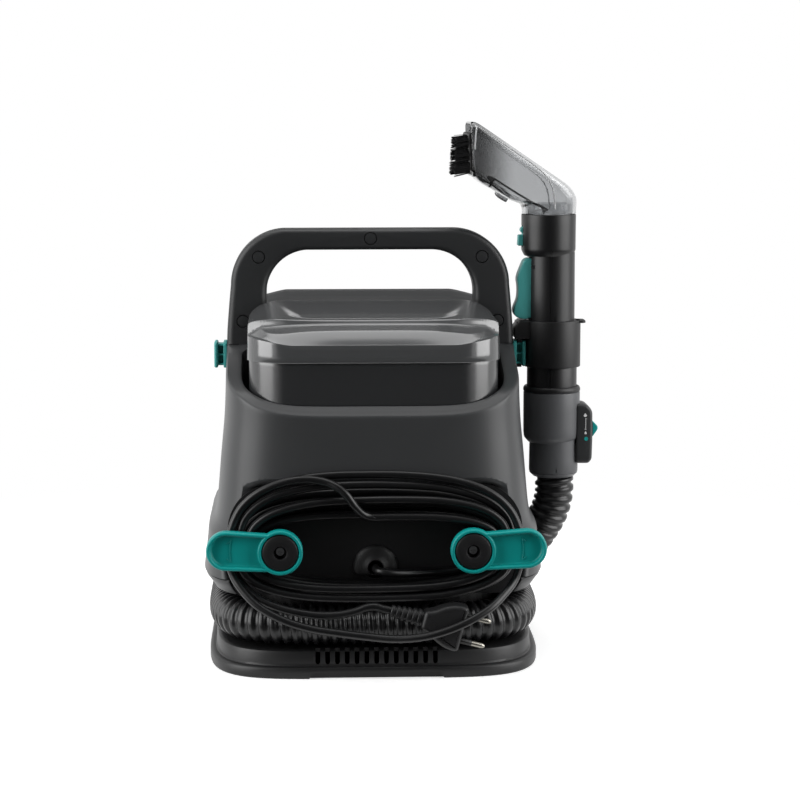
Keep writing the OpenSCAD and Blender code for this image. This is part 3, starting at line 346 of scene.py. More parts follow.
def sweep(path, radius, sides, first=(0, 0, 1)):
    """Rings of a round tube: centre + radius * (cos a * normal + sin a * third axis), with the normal
    carried along the path without twist. radius is a number, or rows x sides."""
    tangent = np.gradient(path, axis=0)
    tangent /= np.linalg.norm(tangent, axis=1)[:, None]
    normal = np.empty_like(tangent)
    n = np.array(first, float)
    for k, t in enumerate(tangent):
        n = n - (n @ t) * t
        n /= np.linalg.norm(n)
        normal[k] = n
    third = np.cross(tangent, normal)
    a = np.arange(sides) * 2 * np.pi / sides
    radius = np.broadcast_to(radius, (len(path), sides))[..., None]
    return path[:, None, :] + radius * (np.cos(a)[None, :, None] * normal[:, None, :]
                                        + np.sin(a)[None, :, None] * third[:, None, :])


cord_d = 6.0
hook_x, hook_z = 71.2, 97.0
wind_base, wind_pitch, layer_pitch = 18.4, 6.7, 6.5
layers, layer_turns, first_layer_y = 4, 2, -127


def wind_point(u):
    """A point of the winding after u turns. The spiral goes out and in again, a layer_pitch nearer the
    front each time, and each turn is a superellipse round both posts."""
    layer = np.floor(u / layer_turns)
    share = u - layer * layer_turns
    out = np.where(u < 0, u, np.where(layer % 2 == 0, share, layer_turns - share))
    near = np.round(u / layer_turns)
    off = u - near * layer_turns
    climb = np.where(np.abs(off) >= 0.25, near - (off < 0), near - 0.5 + 0.5 * np.sin(2 * np.pi * off))
    climb = np.where(near < 1, 0, np.where(near >= layers, layers - 1, climb))
    c, s = np.cos(np.pi / 2 + 2 * np.pi * u), np.sin(np.pi / 2 + 2 * np.pi * u)
    rise = np.where(s > 0, 24 + (7.3 + 1.9 * climb) * out, 26.6 + 7.1 * out)
    return np.stack([(hook_x + wind_base + wind_pitch * out) * signed_power(c, 0.7),
                     first_layer_y - layer_pitch * climb, hook_z + rise * signed_power(s, 0.7)], -1)


lead_route = [[0, -128, 79], [0, -134.2, 79], [2.4, -138.6, 78.6], [8.5, -140.6, 77.8], [17, -138.6, 76.8],
              [27, -134.2, 76], [37, -130, 75.5], [45, -127.6, 75.3]]
tail_route = [[-0.2, -146.5, 121], [-4, -146.6, 121.2], [-9, -148, 123], [-13.5, -150.6, 127],
              [-17.5, -153.2, 132.2], [-21.5, -154, 138], [-28, -152.4, 143.8], [-37, -149.4, 147.8],
              [-49, -148, 149.8], [-62, -147.9, 149], [-76, -147.7, 145.2], [-89, -147.5, 138.4],
              [-99.5, -147.4, 128.8], [-106, -147.3, 116], [-108.6, -147.3, 103], [-108.4, -147.5, 90],
              [-106.6, -148.2, 80], [-100, -153.4, 69.5], [-88, -160, 58], [-70, -165, 48.5],
              [-50, -166, 42], [-28, -165.5, 38], [-8, -166.5, 35.5], [10, -170, 34.5], [28, -174, 36],
              [45, -176.5, 40], [64, -175.5, 47], [82, -169, 56], [94.5, -158.5, 65.5], [101.5, -151, 72.5],
              [105, -148, 80], [107, -147, 90], [107.2, -146.8, 101], [104.9, -146.8, 113.5],
              [99, -146.6, 125.5], [88, -146, 136], [72, -145, 144], [50, -143.6, 149.3],
              [22, -142.3, 151.9], [-8, -141.6, 152.3], [-36, -141.2, 151.6], [-60, -141, 148.3],
              [-80, -140.6, 141.5], [-94.5, -140.3, 131.5], [-103.5, -140.2, 119], [-107.8, -140.2, 106],
              [-108.3, -140.3, 93], [-105.6, -140.6, 81], [-99.5, -145, 71.5], [-87, -152.4, 61.5],
              [-70, -157, 55], [-50, -159, 51], [-32, -160.5, 50.5], [-18, -161.5, 53], [-8.5, -162, 56.3],
              [-1.62, -162, 57], [4.19, -162, 55.5], [10, -162, 54]]
cord_path = even(smooth(np.vstack([lead_route, wind_point(np.arange(-10, 193) / 24), tail_route]), 8), 2.0)

lead_pvc = moulded("lead_pvc", 0x0e0e0f, 0.34, grain=0.05, grain_mm=0.8, mottle=0.12)
lead_rings = sweep(cord_path, cord_d / 2, 16, first=(1, 0, 0))
mains_lead = piece("mains_lead", [solid(lead_rings)], lead_pvc, "body",
                   ["cord_lead", "cord_hank", "cord_tail"])

# ---- Plug ----
# Two-pin mains plug, moulded on in black PVC, with a ribbed strain relief and nickelled pins that
# have black sleeves. It hangs below the boss, tipped down to the right.

plug_spot = np.array([10, -162, 54.0])
plug_tip = np.radians(14.5)
plug_turn = np.array([[np.cos(plug_tip), 0, np.sin(plug_tip)], [0, 1, 0],
                      [-np.sin(plug_tip), 0, np.cos(plug_tip)]])


def turned(profile, sides=64):
    """Surface of revolution round +Z: each row of the profile is a radius and a height."""
    profile = np.asarray(profile, float)
    a = np.arange(sides) * 2 * np.pi / sides
    return np.stack([profile[:, :1] * np.cos(a), profile[:, :1] * np.sin(a),
                     np.broadcast_to(profile[:, 1:], (len(profile), sides))], -1)


def laid_along_x(points):
    """Turns +Z to +X."""
    return np.stack([points[..., 2], points[..., 1], -points[..., 0]], -1)


def facing_rear(points):
    """Turns +Z to -Y, as on a post that points to the cord side."""
    return np.stack([points[..., 0], -points[..., 2], points[..., 1]], -1)


def offset(outline, inset):
    """A closed outline drawn in by inset along its own normals, for slow curves and small insets."""
    ahead, behind = np.roll(outline, -1, 0) - outline, outline - np.roll(outline, 1, 0)
    ahead /= np.linalg.norm(ahead, axis=1)[:, None] + 1e-9
    behind /= np.linalg.norm(behind, axis=1)[:, None] + 1e-9
    along = ahead + behind
    along /= np.linalg.norm(along, axis=1)[:, None] + 1e-9
    area = np.sum(outline[:, 0] * np.roll(outline[:, 1], -1) - np.roll(outline[:, 0], -1) * outline[:, 1])
    inward = np.stack([-along[:, 1], along[:, 0]], -1) * np.sign(area)
    half_turn = np.clip(np.sum(ahead * behind, axis=1), -0.6, 1)
    return outline + inset * inward / np.sqrt((1 + half_turn) / 2)[:, None]


def plate(outline, low, high, edge, steps=4):
    """A plate of that closed outline between two levels, as rows x points x (u, v, level). Its edges are
    quarter rounds: the outline is drawn in by edge * (1 - sin f) at a depth of edge * (1 - cos f)."""
    f = np.linspace(0, np.pi / 2, steps + 1)
    lower = [(edge * (1 - np.sin(x)), low + edge * (1 - np.cos(x))) for x in f]
    upper = [(edge * (1 - np.sin(x)), high - edge * (1 - np.cos(x))) for x in f[::-1]]
    return np.stack([raised(offset(outline, inset), level) for inset, level in lower + upper])


def closed_smooth(points, steps):
    """The Catmull-Rom curve of `smooth` round a closed outline."""
    p = np.asarray(points, float)
    return smooth(np.vstack([p[-2:], p, p[:2]]), steps)[2 * steps:(len(p) + 2) * steps]


def in_xz(points):
    """Turns a plate drawn in (u, v, level) so that u is X, v is Z and the level is Y."""
    return points[..., [0, 2, 1]]


def slab(outline, low, high, edge, steps=4):
    """A closed plate with its outline in X and Z, between two depths."""
    return solid(in_xz(plate(outline, low, high, edge, steps)))


def rounded_box(left, right, low, high, radius, steps=5):
    """The rectangle between two values of u and two of v, with its corners turned."""
    return rounded_polygon([[left, low], [right, low], [right, high], [left, high]], radius, steps)


def rounded_polygon(corners, radius, steps=5):
    """A closed outline through the corners with each corner turned by a parabola of about that radius."""
    p = np.asarray(corners, float)
    back, ahead = np.roll(p, 1, 0) - p, np.roll(p, -1, 0) - p
    back_side, ahead_side = (np.linalg.norm(v, axis=1)[:, None] for v in (back, ahead))
    reach = np.minimum(radius, 0.45 * np.minimum(back_side, ahead_side))
    start, end = (p + back / back_side * reach)[:, None], (p + ahead / ahead_side * reach)[:, None]
    t = np.linspace(0, 1, steps)[None, :, None]
    return (start * (1 - t) ** 2 + 2 * p[:, None] * t * (1 - t) + end * t ** 2).reshape(-1, 2)


def on_plug(points):
    """From the plug's own axes, with X along it, to where it hangs."""
    return points @ plug_turn.T + plug_spot


black_pvc = moulded("black_pvc", 0x151516, 0.42, grain=0.2, grain_mm=0.5)
relief_bore, rib_count, relief_pitch = 3.0, 6, 4.0
relief_ribs = [[relief_bore, 0]]
for rib in range(rib_count):
    outer, foot = 4.6 + rib * 0.4, relief_pitch * rib
    relief_ribs += [[outer - 0.5, foot], [outer, foot + 0.5], [outer, foot + 2.1],
                    [outer - 0.5, foot + 2.6], [outer - 0.8, foot + 2.7], [outer - 0.8, foot + 3.9]]
relief_ribs += [[relief_bore, rib_count * relief_pitch]]
plug_relief = piece("plug_strain_relief", [solid(on_plug(laid_along_x(turned(relief_ribs, 32))))],
                    black_pvc, "body", ["plug_relief"])

plug_half = [[24, -7], [30, -8.5], [36, -13], [44, -16.5], [51, -17.5], [55, -16.5]]
plug_outline = rounded_polygon(plug_half + [[x, -z] for x, z in plug_half[::-1]], 4)
plug_grip = piece("plug_grip", [solid(on_plug(in_xz(plate(plug_outline, -8.4, 8.4, 3.2))))], black_pvc,
                  "body", ["plug_body"])
plug_metal = moulded("nickelled_brass", 0x8f8c84, 0.3, grain=0.04, Metallic=1.0)
pin_sleeve = moulded("pin_sleeve", 0x101010, 0.4)
pin_pitch = 19.0
pin_profile = [[0, 50], [1.99, 50], [1.99, 71.4], [1.5, 73.2], [0.8, 73.9], [0, 73.95]]
sleeve_profile = [[2.0, 54.6], [2.12, 54.7], [2.12, 63.8], [2.0, 64]]
pin_tiles, sleeve_tiles = ([tile(on_plug(laid_along_x(turned(profile, 24)) + [0, 0, half * pin_pitch / 2]))
                            for half in (-1, 1)] for profile in (pin_profile, sleeve_profile))
pins = piece("pins", pin_tiles, plug_metal, "body", ["plug_pins"])
sleeves = piece("pin_sleeves", sleeve_tiles, pin_sleeve, "body")

# ---- Base ----
# Black moulded pan with a flat floor and a low flange. Air slots are cut down from the rim of its
# rear wall, and a shallow notch under the rear and the front lets fingers in. It is one moulding.

base_w, base_d, base_top, flange_top = 254.0, 304.0, 21.0, 9.0
vent_count, vent_pitch, vent_w, vent_foot = 13, 7.3, 3.6, 12.2


def superellipse(a, b, power=5.0, count=200):
    """Points of |x/a|^n + |y/b|^n = 1, about evenly spaced: the angles are chosen once, on the body's
    own plan, so that every outline of one count has its points side by side."""
    def at(angles, a, b, n):
        """The points of one such outline at those angles."""
        return np.stack([a * signed_power(np.cos(angles), 2 / n),
                         b * signed_power(np.sin(angles), 2 / n)], -1)

    dense = np.linspace(0, 2 * np.pi, 8001)
    trail = at(dense, 130.0, 140.0, 5.0)
    length = walked(trail)
    return at(np.interp(np.arange(count) * length[-1] / count, length, dense), a, b, power)


def stepped(width, depth, steps, count=200):
    """Level superellipses on each other. A step says how far its ring is drawn in from the width and
    from the depth, on either side, and how high it lies."""
    return np.stack([raised(superellipse(width / 2 - u, depth / 2 - v, count=count), z)
                     for u, v, z in steps])


def box_tile(low, high):
    """A cutter's box between two corners."""
    (x0, y0, z0), (x1, y1, z1) = low, high
    ring = np.array([[x0, y0], [x1, y0], [x1, y1], [x0, y1]], float)
    return solid(np.stack([raised(ring, z) for z in (z0, z1)]))


def prism_y(outline, y0, y1):
    """A cutter drawn in X and Z, stretched along Y."""
    outline = np.asarray(outline, float)
    return solid(np.stack([upright(outline, y) for y in (y0, y1)]))


half_d, pan_wall = base_d / 2, 4.0
pan_steps = [(9, 9, 0), (1, 1, 0), (0.3, 0.3, 0.5), (0, 0, 1.4), (0, 0, flange_top - 2.4),
             (0.4, 0.4, flange_top - 1.2), (1.3, 1.2, flange_top - 0.4), (2.8, 2.4, flange_top),
             (4.2, 3.4, flange_top + 0.1), (4.9, 3.9, flange_top + 0.8), (5, 4, flange_top + 2),
             (5.2, 4.2, base_top - 3), (5.9, 4.9, base_top - 1.1), (7.2, 6.2, base_top - 0.3),
             (9, 8, base_top), (37, 38, base_top), (39, 40, base_top - 0.5), (39, 40, base_top - 3),
             (8, 7, base_top - 3), (8, 7, pan_wall), (60, 60, pan_wall)]
slot_cutters = []
a = np.linspace(np.pi, 2 * np.pi, 9)
for k in range(vent_count):
    x = (k - (vent_count - 1) / 2) * vent_pitch
    foot = np.column_stack([x + vent_w / 2 * np.cos(a), vent_foot + vent_w / 2 * np.sin(a)])
    outline = np.vstack([foot, [[x + vent_w / 2, base_top + 2], [x - vent_w / 2, base_top + 2]]])
    slot_cutters.append(prism_y(outline, -half_d - 2, -half_d + 12))
notch_edge = [[50, 0.6], [48.8, 2.6], [47.2, 4.4], [45.6, 5]]
notch = [[-50, -1], [50, -1], *notch_edge, *([-x, z] for x, z in notch_edge[::-1])]
black_moulding = moulded("black_moulding", 0x0f0f10, 0.44, grain=0.3, grain_mm=0.45)
piece("floor_pan", [solid(stepped(base_w, base_d, pan_steps))], black_moulding, "body",
      ["base_pan"], cutters=[slot_cutters, [prism_y(notch, -half_d - 5, -half_d + 4.5),
                                            prism_y(notch, half_d - 4.5, half_d + 5)]])
pad_rubber = moulded("pad_rubber", 0x121212, 0.8, grain=0.5, grain_mm=0.8)
finish_nodes(pad_rubber, "rubber_feet")

# ---- Hose ----
# Black corrugated hose, 31 mm over its spiral ribs. It starts at an elbow in the groove's core, goes
# once round the machine, and rises along the wand's side into the cuff.

hose_od, hose_bore, rib_pitch, rib_depth = 31.0, 23.0, 7.0, 1.9
groove_a, groove_b, groove_z, port_y = 112.0, 136.0, 38.5, -10.0


def ribbed(path):
    """Spiral ribs on a tube: the radius follows a flat-topped wave of the length walked along the path,
    which runs on by one rib for each turn about the path."""
    sides, steps = 40, 9
    line = even(path, rib_pitch / steps)
    length = np.arange(len(line))[:, None] / steps
    wave = np.cos(2 * np.pi * (length - np.arange(sides)[None, :] / sides))
    crest = 1 / (1 + np.exp(-5.5 * (wave + 0.15)))
    outer = sweep(line, hose_od / 2 - rib_depth * (1 - crest), sides)
    inner = sweep(line, hose_bore / 2, sides)[::-1]
    return hollow(np.concatenate([outer, inner]))


a = np.radians(np.arange(-1.5, -359, -1.5))
loop = raised(np.column_stack([groove_a * signed_power(np.cos(a), 0.4),
                               groove_b * signed_power(np.sin(a), 0.4)]), groove_z)
loop = loop[~((loop[:, 0] > 0) & (loop[:, 1] > -40) & (loop[:, 1] < 66))]
loop = np.vstack([[[groove_a, port_y - 15.8, groove_z]], loop, [[111.6, 58.6, groove_z]]])
riser_route = [[111.6, 57.7, 38.5], [111.6, 51, 38.5], [112, 43, 40], [114.5, 32, 46], [120, 21, 56.5],
               [128, 12, 69], [137, 5.5, 83], [144.5, 1.5, 98], [148, 0, 113], [148, 0, 128], [148, 0, 146]]
hose_plastic = moulded("hose_plastic", 0x121213, 0.3, grain=0.06, grain_mm=0.8, mottle=0.1)
piece("ribbed_hose", [ribbed(smooth(even(loop, 6), 3))], hose_plastic, "body",
      ["suction_hose"], crease=70)
rising_hose = put("rising_hose", mesh_of("rising_hose", [ribbed(smooth(riser_route, 8))]))
rising_hose.data.materials.append(hose_plastic)
rising_hose.data.shade_smooth()
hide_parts("hose_riser")
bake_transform(rising_hose)
finish_nodes(black_moulding, "hose_core", "hose_port")

# ---- Lower ring and main housing ----
# Two semi-gloss grey mouldings, screwed together at the seam from below. The housing carries both
# tank wells. Its rim is a band that slopes outwards, and its rear wall opens into the cord recess.

body_w, body_d, seam_z, groove_top, deck_z, shoulder_z = 262.0, 284.0, 70.0, 58.0, 112.0, 236.0
body_form = np.array([[seam_z, body_w / 2, body_d / 2], [90, 128.5, 140], [103, 127, 138], [109, 123, 136],
                      [122, 120.5, 134], [156, 117.5, 131.5], [187, 114.6, 130], [218, 113.4, 129],
                      [shoulder_z, 113.4, 129]])
rim_heights = np.array([[0, shoulder_z], [15.5, shoulder_z], [18, 234.7], [24, 231.2], [36, 226.6],
                        [50, 222.3], [64, 218.9], [78, 215.9], [90, 213.2], [101, 210.5], [109, 207.8],
                        [116, 204.2], [121.5, 200.7], [129, 195.4], [160, 172]])
smooth_form = smooth(body_form, 8)
smooth_rim = smooth(rim_heights, 6)
panel_y = -122.5


def body_wall(x, z, form):
    """How far back the outer wall lies at a place of its rear: the superellipse solved for Y."""
    a, b = (np.interp(z, form[:, 0], form[:, k]) for k in (1, 2))
    return -b * (1 - np.clip(np.abs(x) / a, 0, 0.999) ** 5) ** 0.2


around = superellipse(1, 1, count=400)
well = superellipse(101.0, 121.5, 6.0, 400)
foot_gap = np.clip((36 - np.abs(well[:, 1])) / 18, 0, 1)
side_limit = 104 - 14 * (1 - np.sqrt(1 - foot_gap ** 2))
well[:, 0] = np.sign(well[:, 0]) * np.minimum(np.abs(well[:, 0]), side_limit)
rim_z, well_z = (np.interp(np.abs(y), smooth_rim[:, 0], smooth_rim[:, 1])
                 for y in (around[:, 1] * 129, well[:, 1]))
climb = np.linspace(0, 1, 46) ** 0.9
band_round, seam_gap = 3.0, 0.25
outer_rows = []
for share in climb:
    z = seam_z + seam_gap + (rim_z - band_round - seam_z - seam_gap) * share
    a, b = (np.interp(z, smooth_form[:, 0], smooth_form[:, k]) for k in (1, 2))
    outer_rows.append(raised(around * np.column_stack([np.minimum(a, body_w / 2), b]), z))
top = outer_rows[-1]
band_rows = []
for turn in np.radians([20, 40, 60]):
    inset = band_round * (1 - np.cos(turn))
    z = rim_z - band_round + band_round * np.sin(turn)
    band_rows.append(raised(top[:, :2] * (1 - inset / 120), z))
soft = band_rows[-1]
for share in (0.25, 0.5, 0.75, 0.93):
    xy = soft[:, :2] + (well * 1.008 - soft[:, :2]) * share
    band_rows.append(raised(xy, soft[:, 2] + (well_z - soft[:, 2]) * share ** 0.85))
band_rows += [raised(well * 1.003, well_z - 0.25), raised(well, well_z - 1.2)]
well_rows = [raised(well, well_z + (deck_z + 0.1 - well_z) * share) for share in (0.2, 0.5, 0.8, 1.0)]
inner_steps = [(14, 12, 110), (11, 10, 102), (8, 7.5, 88), (4.5, 4, seam_z + seam_gap)]
inner_rows = stepped(body_w, body_d, inner_steps, 400)
housing_tile = hollow(np.stack([*outer_rows, *band_rows, *well_rows, *inner_rows]))


def recess_outline():
    """Left foot, up and over to the right foot of the recess: two big round corners on straight sides."""
    corner_x, corner_r = -77, 34
    turn = np.linspace(0, np.pi / 2, 14)
    low_turn = np.linspace(np.arcsin(28.2 / corner_r), 0, 14)
    left_low = np.column_stack([corner_x - corner_r * np.cos(low_turn), 80 - corner_r * np.sin(low_turn)])
    left_top = np.column_stack([corner_x - corner_r * np.cos(turn), 108 + corner_r * np.sin(turn)])
    half = np.vstack([[[-96, 38]], [[-96, 44]], left_low,
                      np.column_stack([np.full(3, -111.0), [87, 94, 101]]), left_top,
                      np.column_stack([np.linspace(-70, -8, 8), np.full(8, 142.0)])])
    return np.vstack([half, half[::-1] * [-1, 1]])


def recess_cutter(form, round_over):
    """The recess with a flared mouth: the outline grows by r (1 - cos f) where the cutter still lies
    r (sin 70 - sin f) under the wall, so that the wall rolls into the recess."""
    outline = recess_outline()
    rows = [upright(outline, panel_y + 3)]
    for f in np.radians(np.linspace(0, 70, 8)):
        grown = offset(outline, -round_over * (1 - np.cos(f)))
        wall = body_wall(grown[:, 0], grown[:, 1], form) + round_over * (np.sin(np.radians(70)) - np.sin(f))
        rows.append(upright(grown, np.minimum(wall, panel_y + 2.9)))
    grown = offset(outline, -round_over * 0.66 - 1.4)
    rows.append(upright(grown, np.minimum(body_wall(grown[:, 0], grown[:, 1], form), panel_y + 2.9) - 3.5))
    rows.append(upright(grown, -175.0))
    return solid(np.stack(rows))


channel = np.array([riser_route[k] for k in (1, 3, 4, 5, 6, 7)], float)
channel_cutter = solid(sweep(smooth(channel, 4), hose_od / 2 + 2.2, 28))
body_grey = casing("body_grey", 0x373839, 0.38)
piece("main_housing", [housing_tile], body_grey, "body", ["main_shell"], crease=32,
      cutters=[[recess_cutter(smooth_form, 8.0)], [channel_cutter]])

ring_steps = [(8.3, 7.8, groove_top), (7.2, 6.7, groove_top + 0.3), (6.6, 6, groove_top + 1.4),
              (3.6, 3, groove_top + 6), (1.2, 0.8, groove_top + 9.4), (0.8, 0.6, seam_z - 0.7),
              (1.4, 1.2, seam_z - 0.1), (4, 3.5, seam_z - 0.1), (11, 10, groove_top + 3),
              (43, 30, groove_top + 3), (43, 30, groove_top)]
ring_form = np.array([[30, 123.5, 135], [groove_top, 123.5, 135], [seam_z - 2, 130.5, 142],
                      [seam_z, 131, 142], [90, 131, 142]])
ring_grey = casing("ring_grey", 0x1d1e1f, 0.4)
piece("lower_ring", [hollow(stepped(body_w, body_d, ring_steps))], ring_grey, "body",
      ["lower_shell"], cutters=[[recess_cutter(ring_form, 3.0)], [channel_cutter]])
finish_nodes(ring_grey, "tank_deck")
finish_nodes(body_grey, "centre_spine")

# ---- Cord store ----
# Black panel at the bottom of the recess with the boss that the lead leaves by. Two fixed posts take
# teal hooks that turn inwards to let the lead off. A Phillips screw holds each post.

post_r, hook_front, gland_z = 12.9, -160.0, 79.0
panel_black = moulded("panel_black", 0x131314, 0.44, grain=0.3, grain_mm=0.45)
finish_nodes(panel_black, "cord_panel")

gland_profile = [[5.6, 1], [5.4, 5.2], [6.2, 5.6], [7.4, 5.1], [9, 4.2], [11, 3.6], [13.2, 3], [15, 2.2],
                 [16.2, 1.3], [16.9, 0.5], [17, 0.05], [5.6, 0.05]]
boss = facing_rear(turned(gland_profile, 96))
boss_foot = -5.45
boss[..., 2] = np.maximum(boss[..., 2], boss_foot)
piece("lead_boss", [hollow(boss + [0, panel_y, gland_z])], panel_black, "body",
      ["cord_gland"])

cap_front = hook_front + 0.6
post_profile = [[10, -panel_y - 3], [10, -panel_y], [post_r, -panel_y], [post_r, -hook_front - 4.5],
                [13.5, -hook_front - 4.2], [13.5, -cap_front - 1.2], [13.1, -cap_front - 0.5],
                [12.2, -cap_front - 0.1], [5.6, -cap_front + 0.35], [5.0, -cap_front + 0.1],
                [4.7, -cap_front - 0.8], [4.6, -cap_front - 7.6], [1.65, -cap_front - 7.8],
                [1.65, -cap_front - 24]]
both_sides = ((-1, "left"), (1, "right"))
for side, label in both_sides:
    cap = facing_rear(turned(post_profile, 72)) + [side * hook_x, 0, hook_z]
    piece(f"hook_post_{label}_turned", [solid(cap)], panel_black, "body",
          [f"hook_post_{label}"])
plated_steel = moulded("plated_steel", 0xa9abad, 0.34, grain=0.06, Metallic=1.0)
screw_steel = moulded("screw_steel", 0x55575a, 0.4, grain=0.06, Metallic=1.0)
finish_nodes(plated_steel, "hook_screws")


def paddle_outline(grow):
    """The hook's outline: the hull of a straight root near the post and the round end of the paddle."""
    root_x, root_half, end_x, end_z, end_r = 4.0, 13.9 + grow, 39.7, 1.6, 14.6 + grow
    lean = np.arcsin((end_r - root_half) / (end_x - root_x))
    a = np.linspace(-np.pi / 2 - lean, np.pi / 2 + lean, 30)
    arc = np.column_stack([end_x + end_r * np.cos(a), end_z + end_r * np.sin(a)])
    way = np.linspace(0, 1, 8)[:, None]
    root_top, root_low = np.array([root_x, root_half - 0.4]), np.array([root_x, -root_half - 0.4])
    upper = arc[-1] + (root_top - arc[-1]) * way[1:]
    lower = root_low + (arc[0] - root_low) * way[:-1]
    return np.vstack([lower, arc, upper])


teal = moulded("teal", 0x008f8b, 0.42, grain=0.1, grain_mm=0.4, mottle=0.03, Specular_IOR_Level=0.35)
teal_floor = moulded("teal_floor", 0x009692, 0.5, grain=0.1, grain_mm=0.4, mottle=0.03,
                     Specular_IOR_Level=0.3)
wall_levels = [(-1.2, 8.4), (-0.3, 8.1), (0, 7.4), (0, 1.5), (-0.25, 0.7), (-0.9, 0.15), (-1.6, 0),
               (-2.2, 0.15), (-2.75, 0.8), (-2.95, 1.6), (-3.2, 4.6), (-3.8, 5.2), (-5, 5.4), (-5, 6.6),
               (-1.9, 6.6), (-1.6, 8.3)]
paddle_wall = np.stack([upright(paddle_outline(grow), hook_front + y) for grow, y in wall_levels])
ring_depths = [[13.9, -4.6], [13.95, -1.0], [14.4, -0.3], [15.3, 0], [16.1, -0.25], [16.6, -0.9],
               [16.7, -1.8], [16.7, -8.4], [16.2, -8.95], [13.4, -8.95], [12.97, -8.5], [12.97, -4.6]]
hub = facing_rear(turned([[r, depth - hook_front] for r, depth in ring_depths], 96))
floor_sheet = np.stack([upright(paddle_outline(-3.1), hook_front + y) for y in (5.3, 5.9)])


def hub_cutter(radius):
    """A cutter that keeps the paddle clear of the ring round the post."""
    return facing_rear(turned([[0, 140], [radius, 140], [radius, 165], [0, 165]], 72))


for side, label in both_sides:
    place = np.array([side * hook_x, 0, hook_z])
    flip = np.array([side, 1, 1.0])
    body = f"{label}_hook"
    piece(f"hook_{label}_paddle", [hollow(paddle_wall * flip + place)], teal, body,
          [f"cord_hook_{label}"], cutters=[[tile(hub_cutter(15.0) * flip + place)]])
    piece(f"hook_{label}_ring", [hollow(hub * flip + place)], teal, body)
    piece(f"hook_{label}_floor", [solid(floor_sheet * flip + place)], teal_floor, body,
          cutters=[[tile(hub_cutter(15.6) * flip + place)]])
    # Raised arrow with a barb at either end, bent round the post
    bend = np.radians(np.linspace(-11, 14, 24))
    shaft = upright(37 * np.column_stack([np.cos(bend), np.sin(bend)]), 0)
    barbs = [np.array([tip, tip + [3.0, 0, rise]]) for tip, rise in ((shaft[0], 2.4), (shaft[-1], -2.4))]
    arrow = [solid(sweep(even(s, 1.0) + [0, hook_front + 5.0, 0], 0.45, 10, first=(0, 1, 0)) * flip + place)
             for s in (shaft, *barbs)]
    piece(f"hook_{label}_arrow", arrow, teal, body)

# ---- Carry arch and studs ----
# Dark grey handle of two half mouldings, screwed from the rear under five blanking plugs. On either
# side a pale teal ribbed stud is screwed to the housing, and the wand's bracket slides on the right one.

arch_d, arch_top, arch_bar = 28.0, 326.5, 16.5


def leg_and_corner(leg, x, r, top):
    """The right half of an edge of the arch: up the leg, then a quarter circle about X = x to the top."""
    quarter = np.linspace(0, np.pi / 2, 22)
    return np.vstack([smooth(leg, 4)[:-1],
                      np.column_stack([x + r * np.cos(quarter), top - r + r * np.sin(quarter)])])


outer_edge = leg_and_corner([[113.4, shoulder_z], [113, 248], [111.4, 268], [110, 282.5]], 66, 44, arch_top)
inner_edge = leg_and_corner([[82, shoulder_z], [82, 248], [82, 264], [82, 276]], 48, 34,
                            arch_top - arch_bar)
fillet = np.linspace(0, np.pi / 2, 7)
arch_depth = arch_d / 2


def arch_section(width):
    """Half a section, from the joint's groove round the rear corners: width inwards and depth outwards."""
    r, low = 5.0, [(0.55, 0.0), (0.5, 0.35), (0.12, 0.6), (0, 0.9)]
    near = [(r - r * np.cos(f), arch_depth - r + r * np.sin(f)) for f in fillet]
    return np.array(low + near + [(width - u, d) for u, d in near[::-1]]
                    + [(width - u, d) for u, d in low[::-1]])


def arch_half(side):
    """One moulding of the arch: its section carried along the outer and the inner edge together."""
    rows = []
    edges = [np.vstack([e, (e[:-1] * [-1, 1])[::-1]]) for e in (outer_edge, inner_edge)]
    for o, i in zip(*edges):
        width = np.linalg.norm(o - i)
        across_bar = (i - o) / width
        section = arch_section(width)
        xz = o + across_bar * section[:, :1]
        rows.append(upright(xz, side * section[:, 1]))
    return solid(np.stack(rows))


arch_grey = casing("arch_grey", 0x202122, 0.46)
plug_spots = [(0, 319), (88, 304.5), (-88, 304.5), (100.5, 254), (-100.5, 254)]
spot_cutters = [tile(facing_rear(turned([[0, 9], [4.9, 9], [4.9, 12.6], [5.2, 14], [5.2, 16], [0, 16]], 48))
                     + [x, 0, z]) for x, z in plug_spots]
for side, node, label in ((-1, "handle_rear", "arch_rear_half"), (1, "handle_front", "arch_front_half")):
    low, high = (-9, -0.05) if side < 0 else (0.05, 9)
    tongues = [box_tile((s * 92 - 8, low, shoulder_z - 34), (s * 92 + 8, high, shoulder_z - 0.05))
               for s in (-1, 1)]
    piece(label, [arch_half(side)], arch_grey, "body", [node],
          cutters=[spot_cutters] if side < 0 else [])
    piece(label + "_tongues", tongues, arch_grey, "body")
plug_profile = [[0, 10], [4.3, 10], [4.6, 10.3], [4.6, 13.3], [4.4, 13.65], [3.9, 13.75], [0, 13.78]]
piece("arch_plugs", [tile(facing_rear(turned(plug_profile, 48)) + [x, 0, z]) for x, z in plug_spots],
      arch_grey, "body", ["handle_plugs"])

pale_teal = moulded("pale_teal", 0x3f9a96, 0.38, grain=0.1, grain_mm=0.4, mottle=0.03)
stud_root, stud_z = 113.5, 227.0
flange = rounded_box(-10, 10, stud_z - 10.5, stud_z + 10.5, 3.4)


def stud_plate(outline, low, high, edge):
    """A plate with its outline in Y and Z, between two values of X."""
    return plate(outline, low, high, edge)[..., [2, 0, 1]]


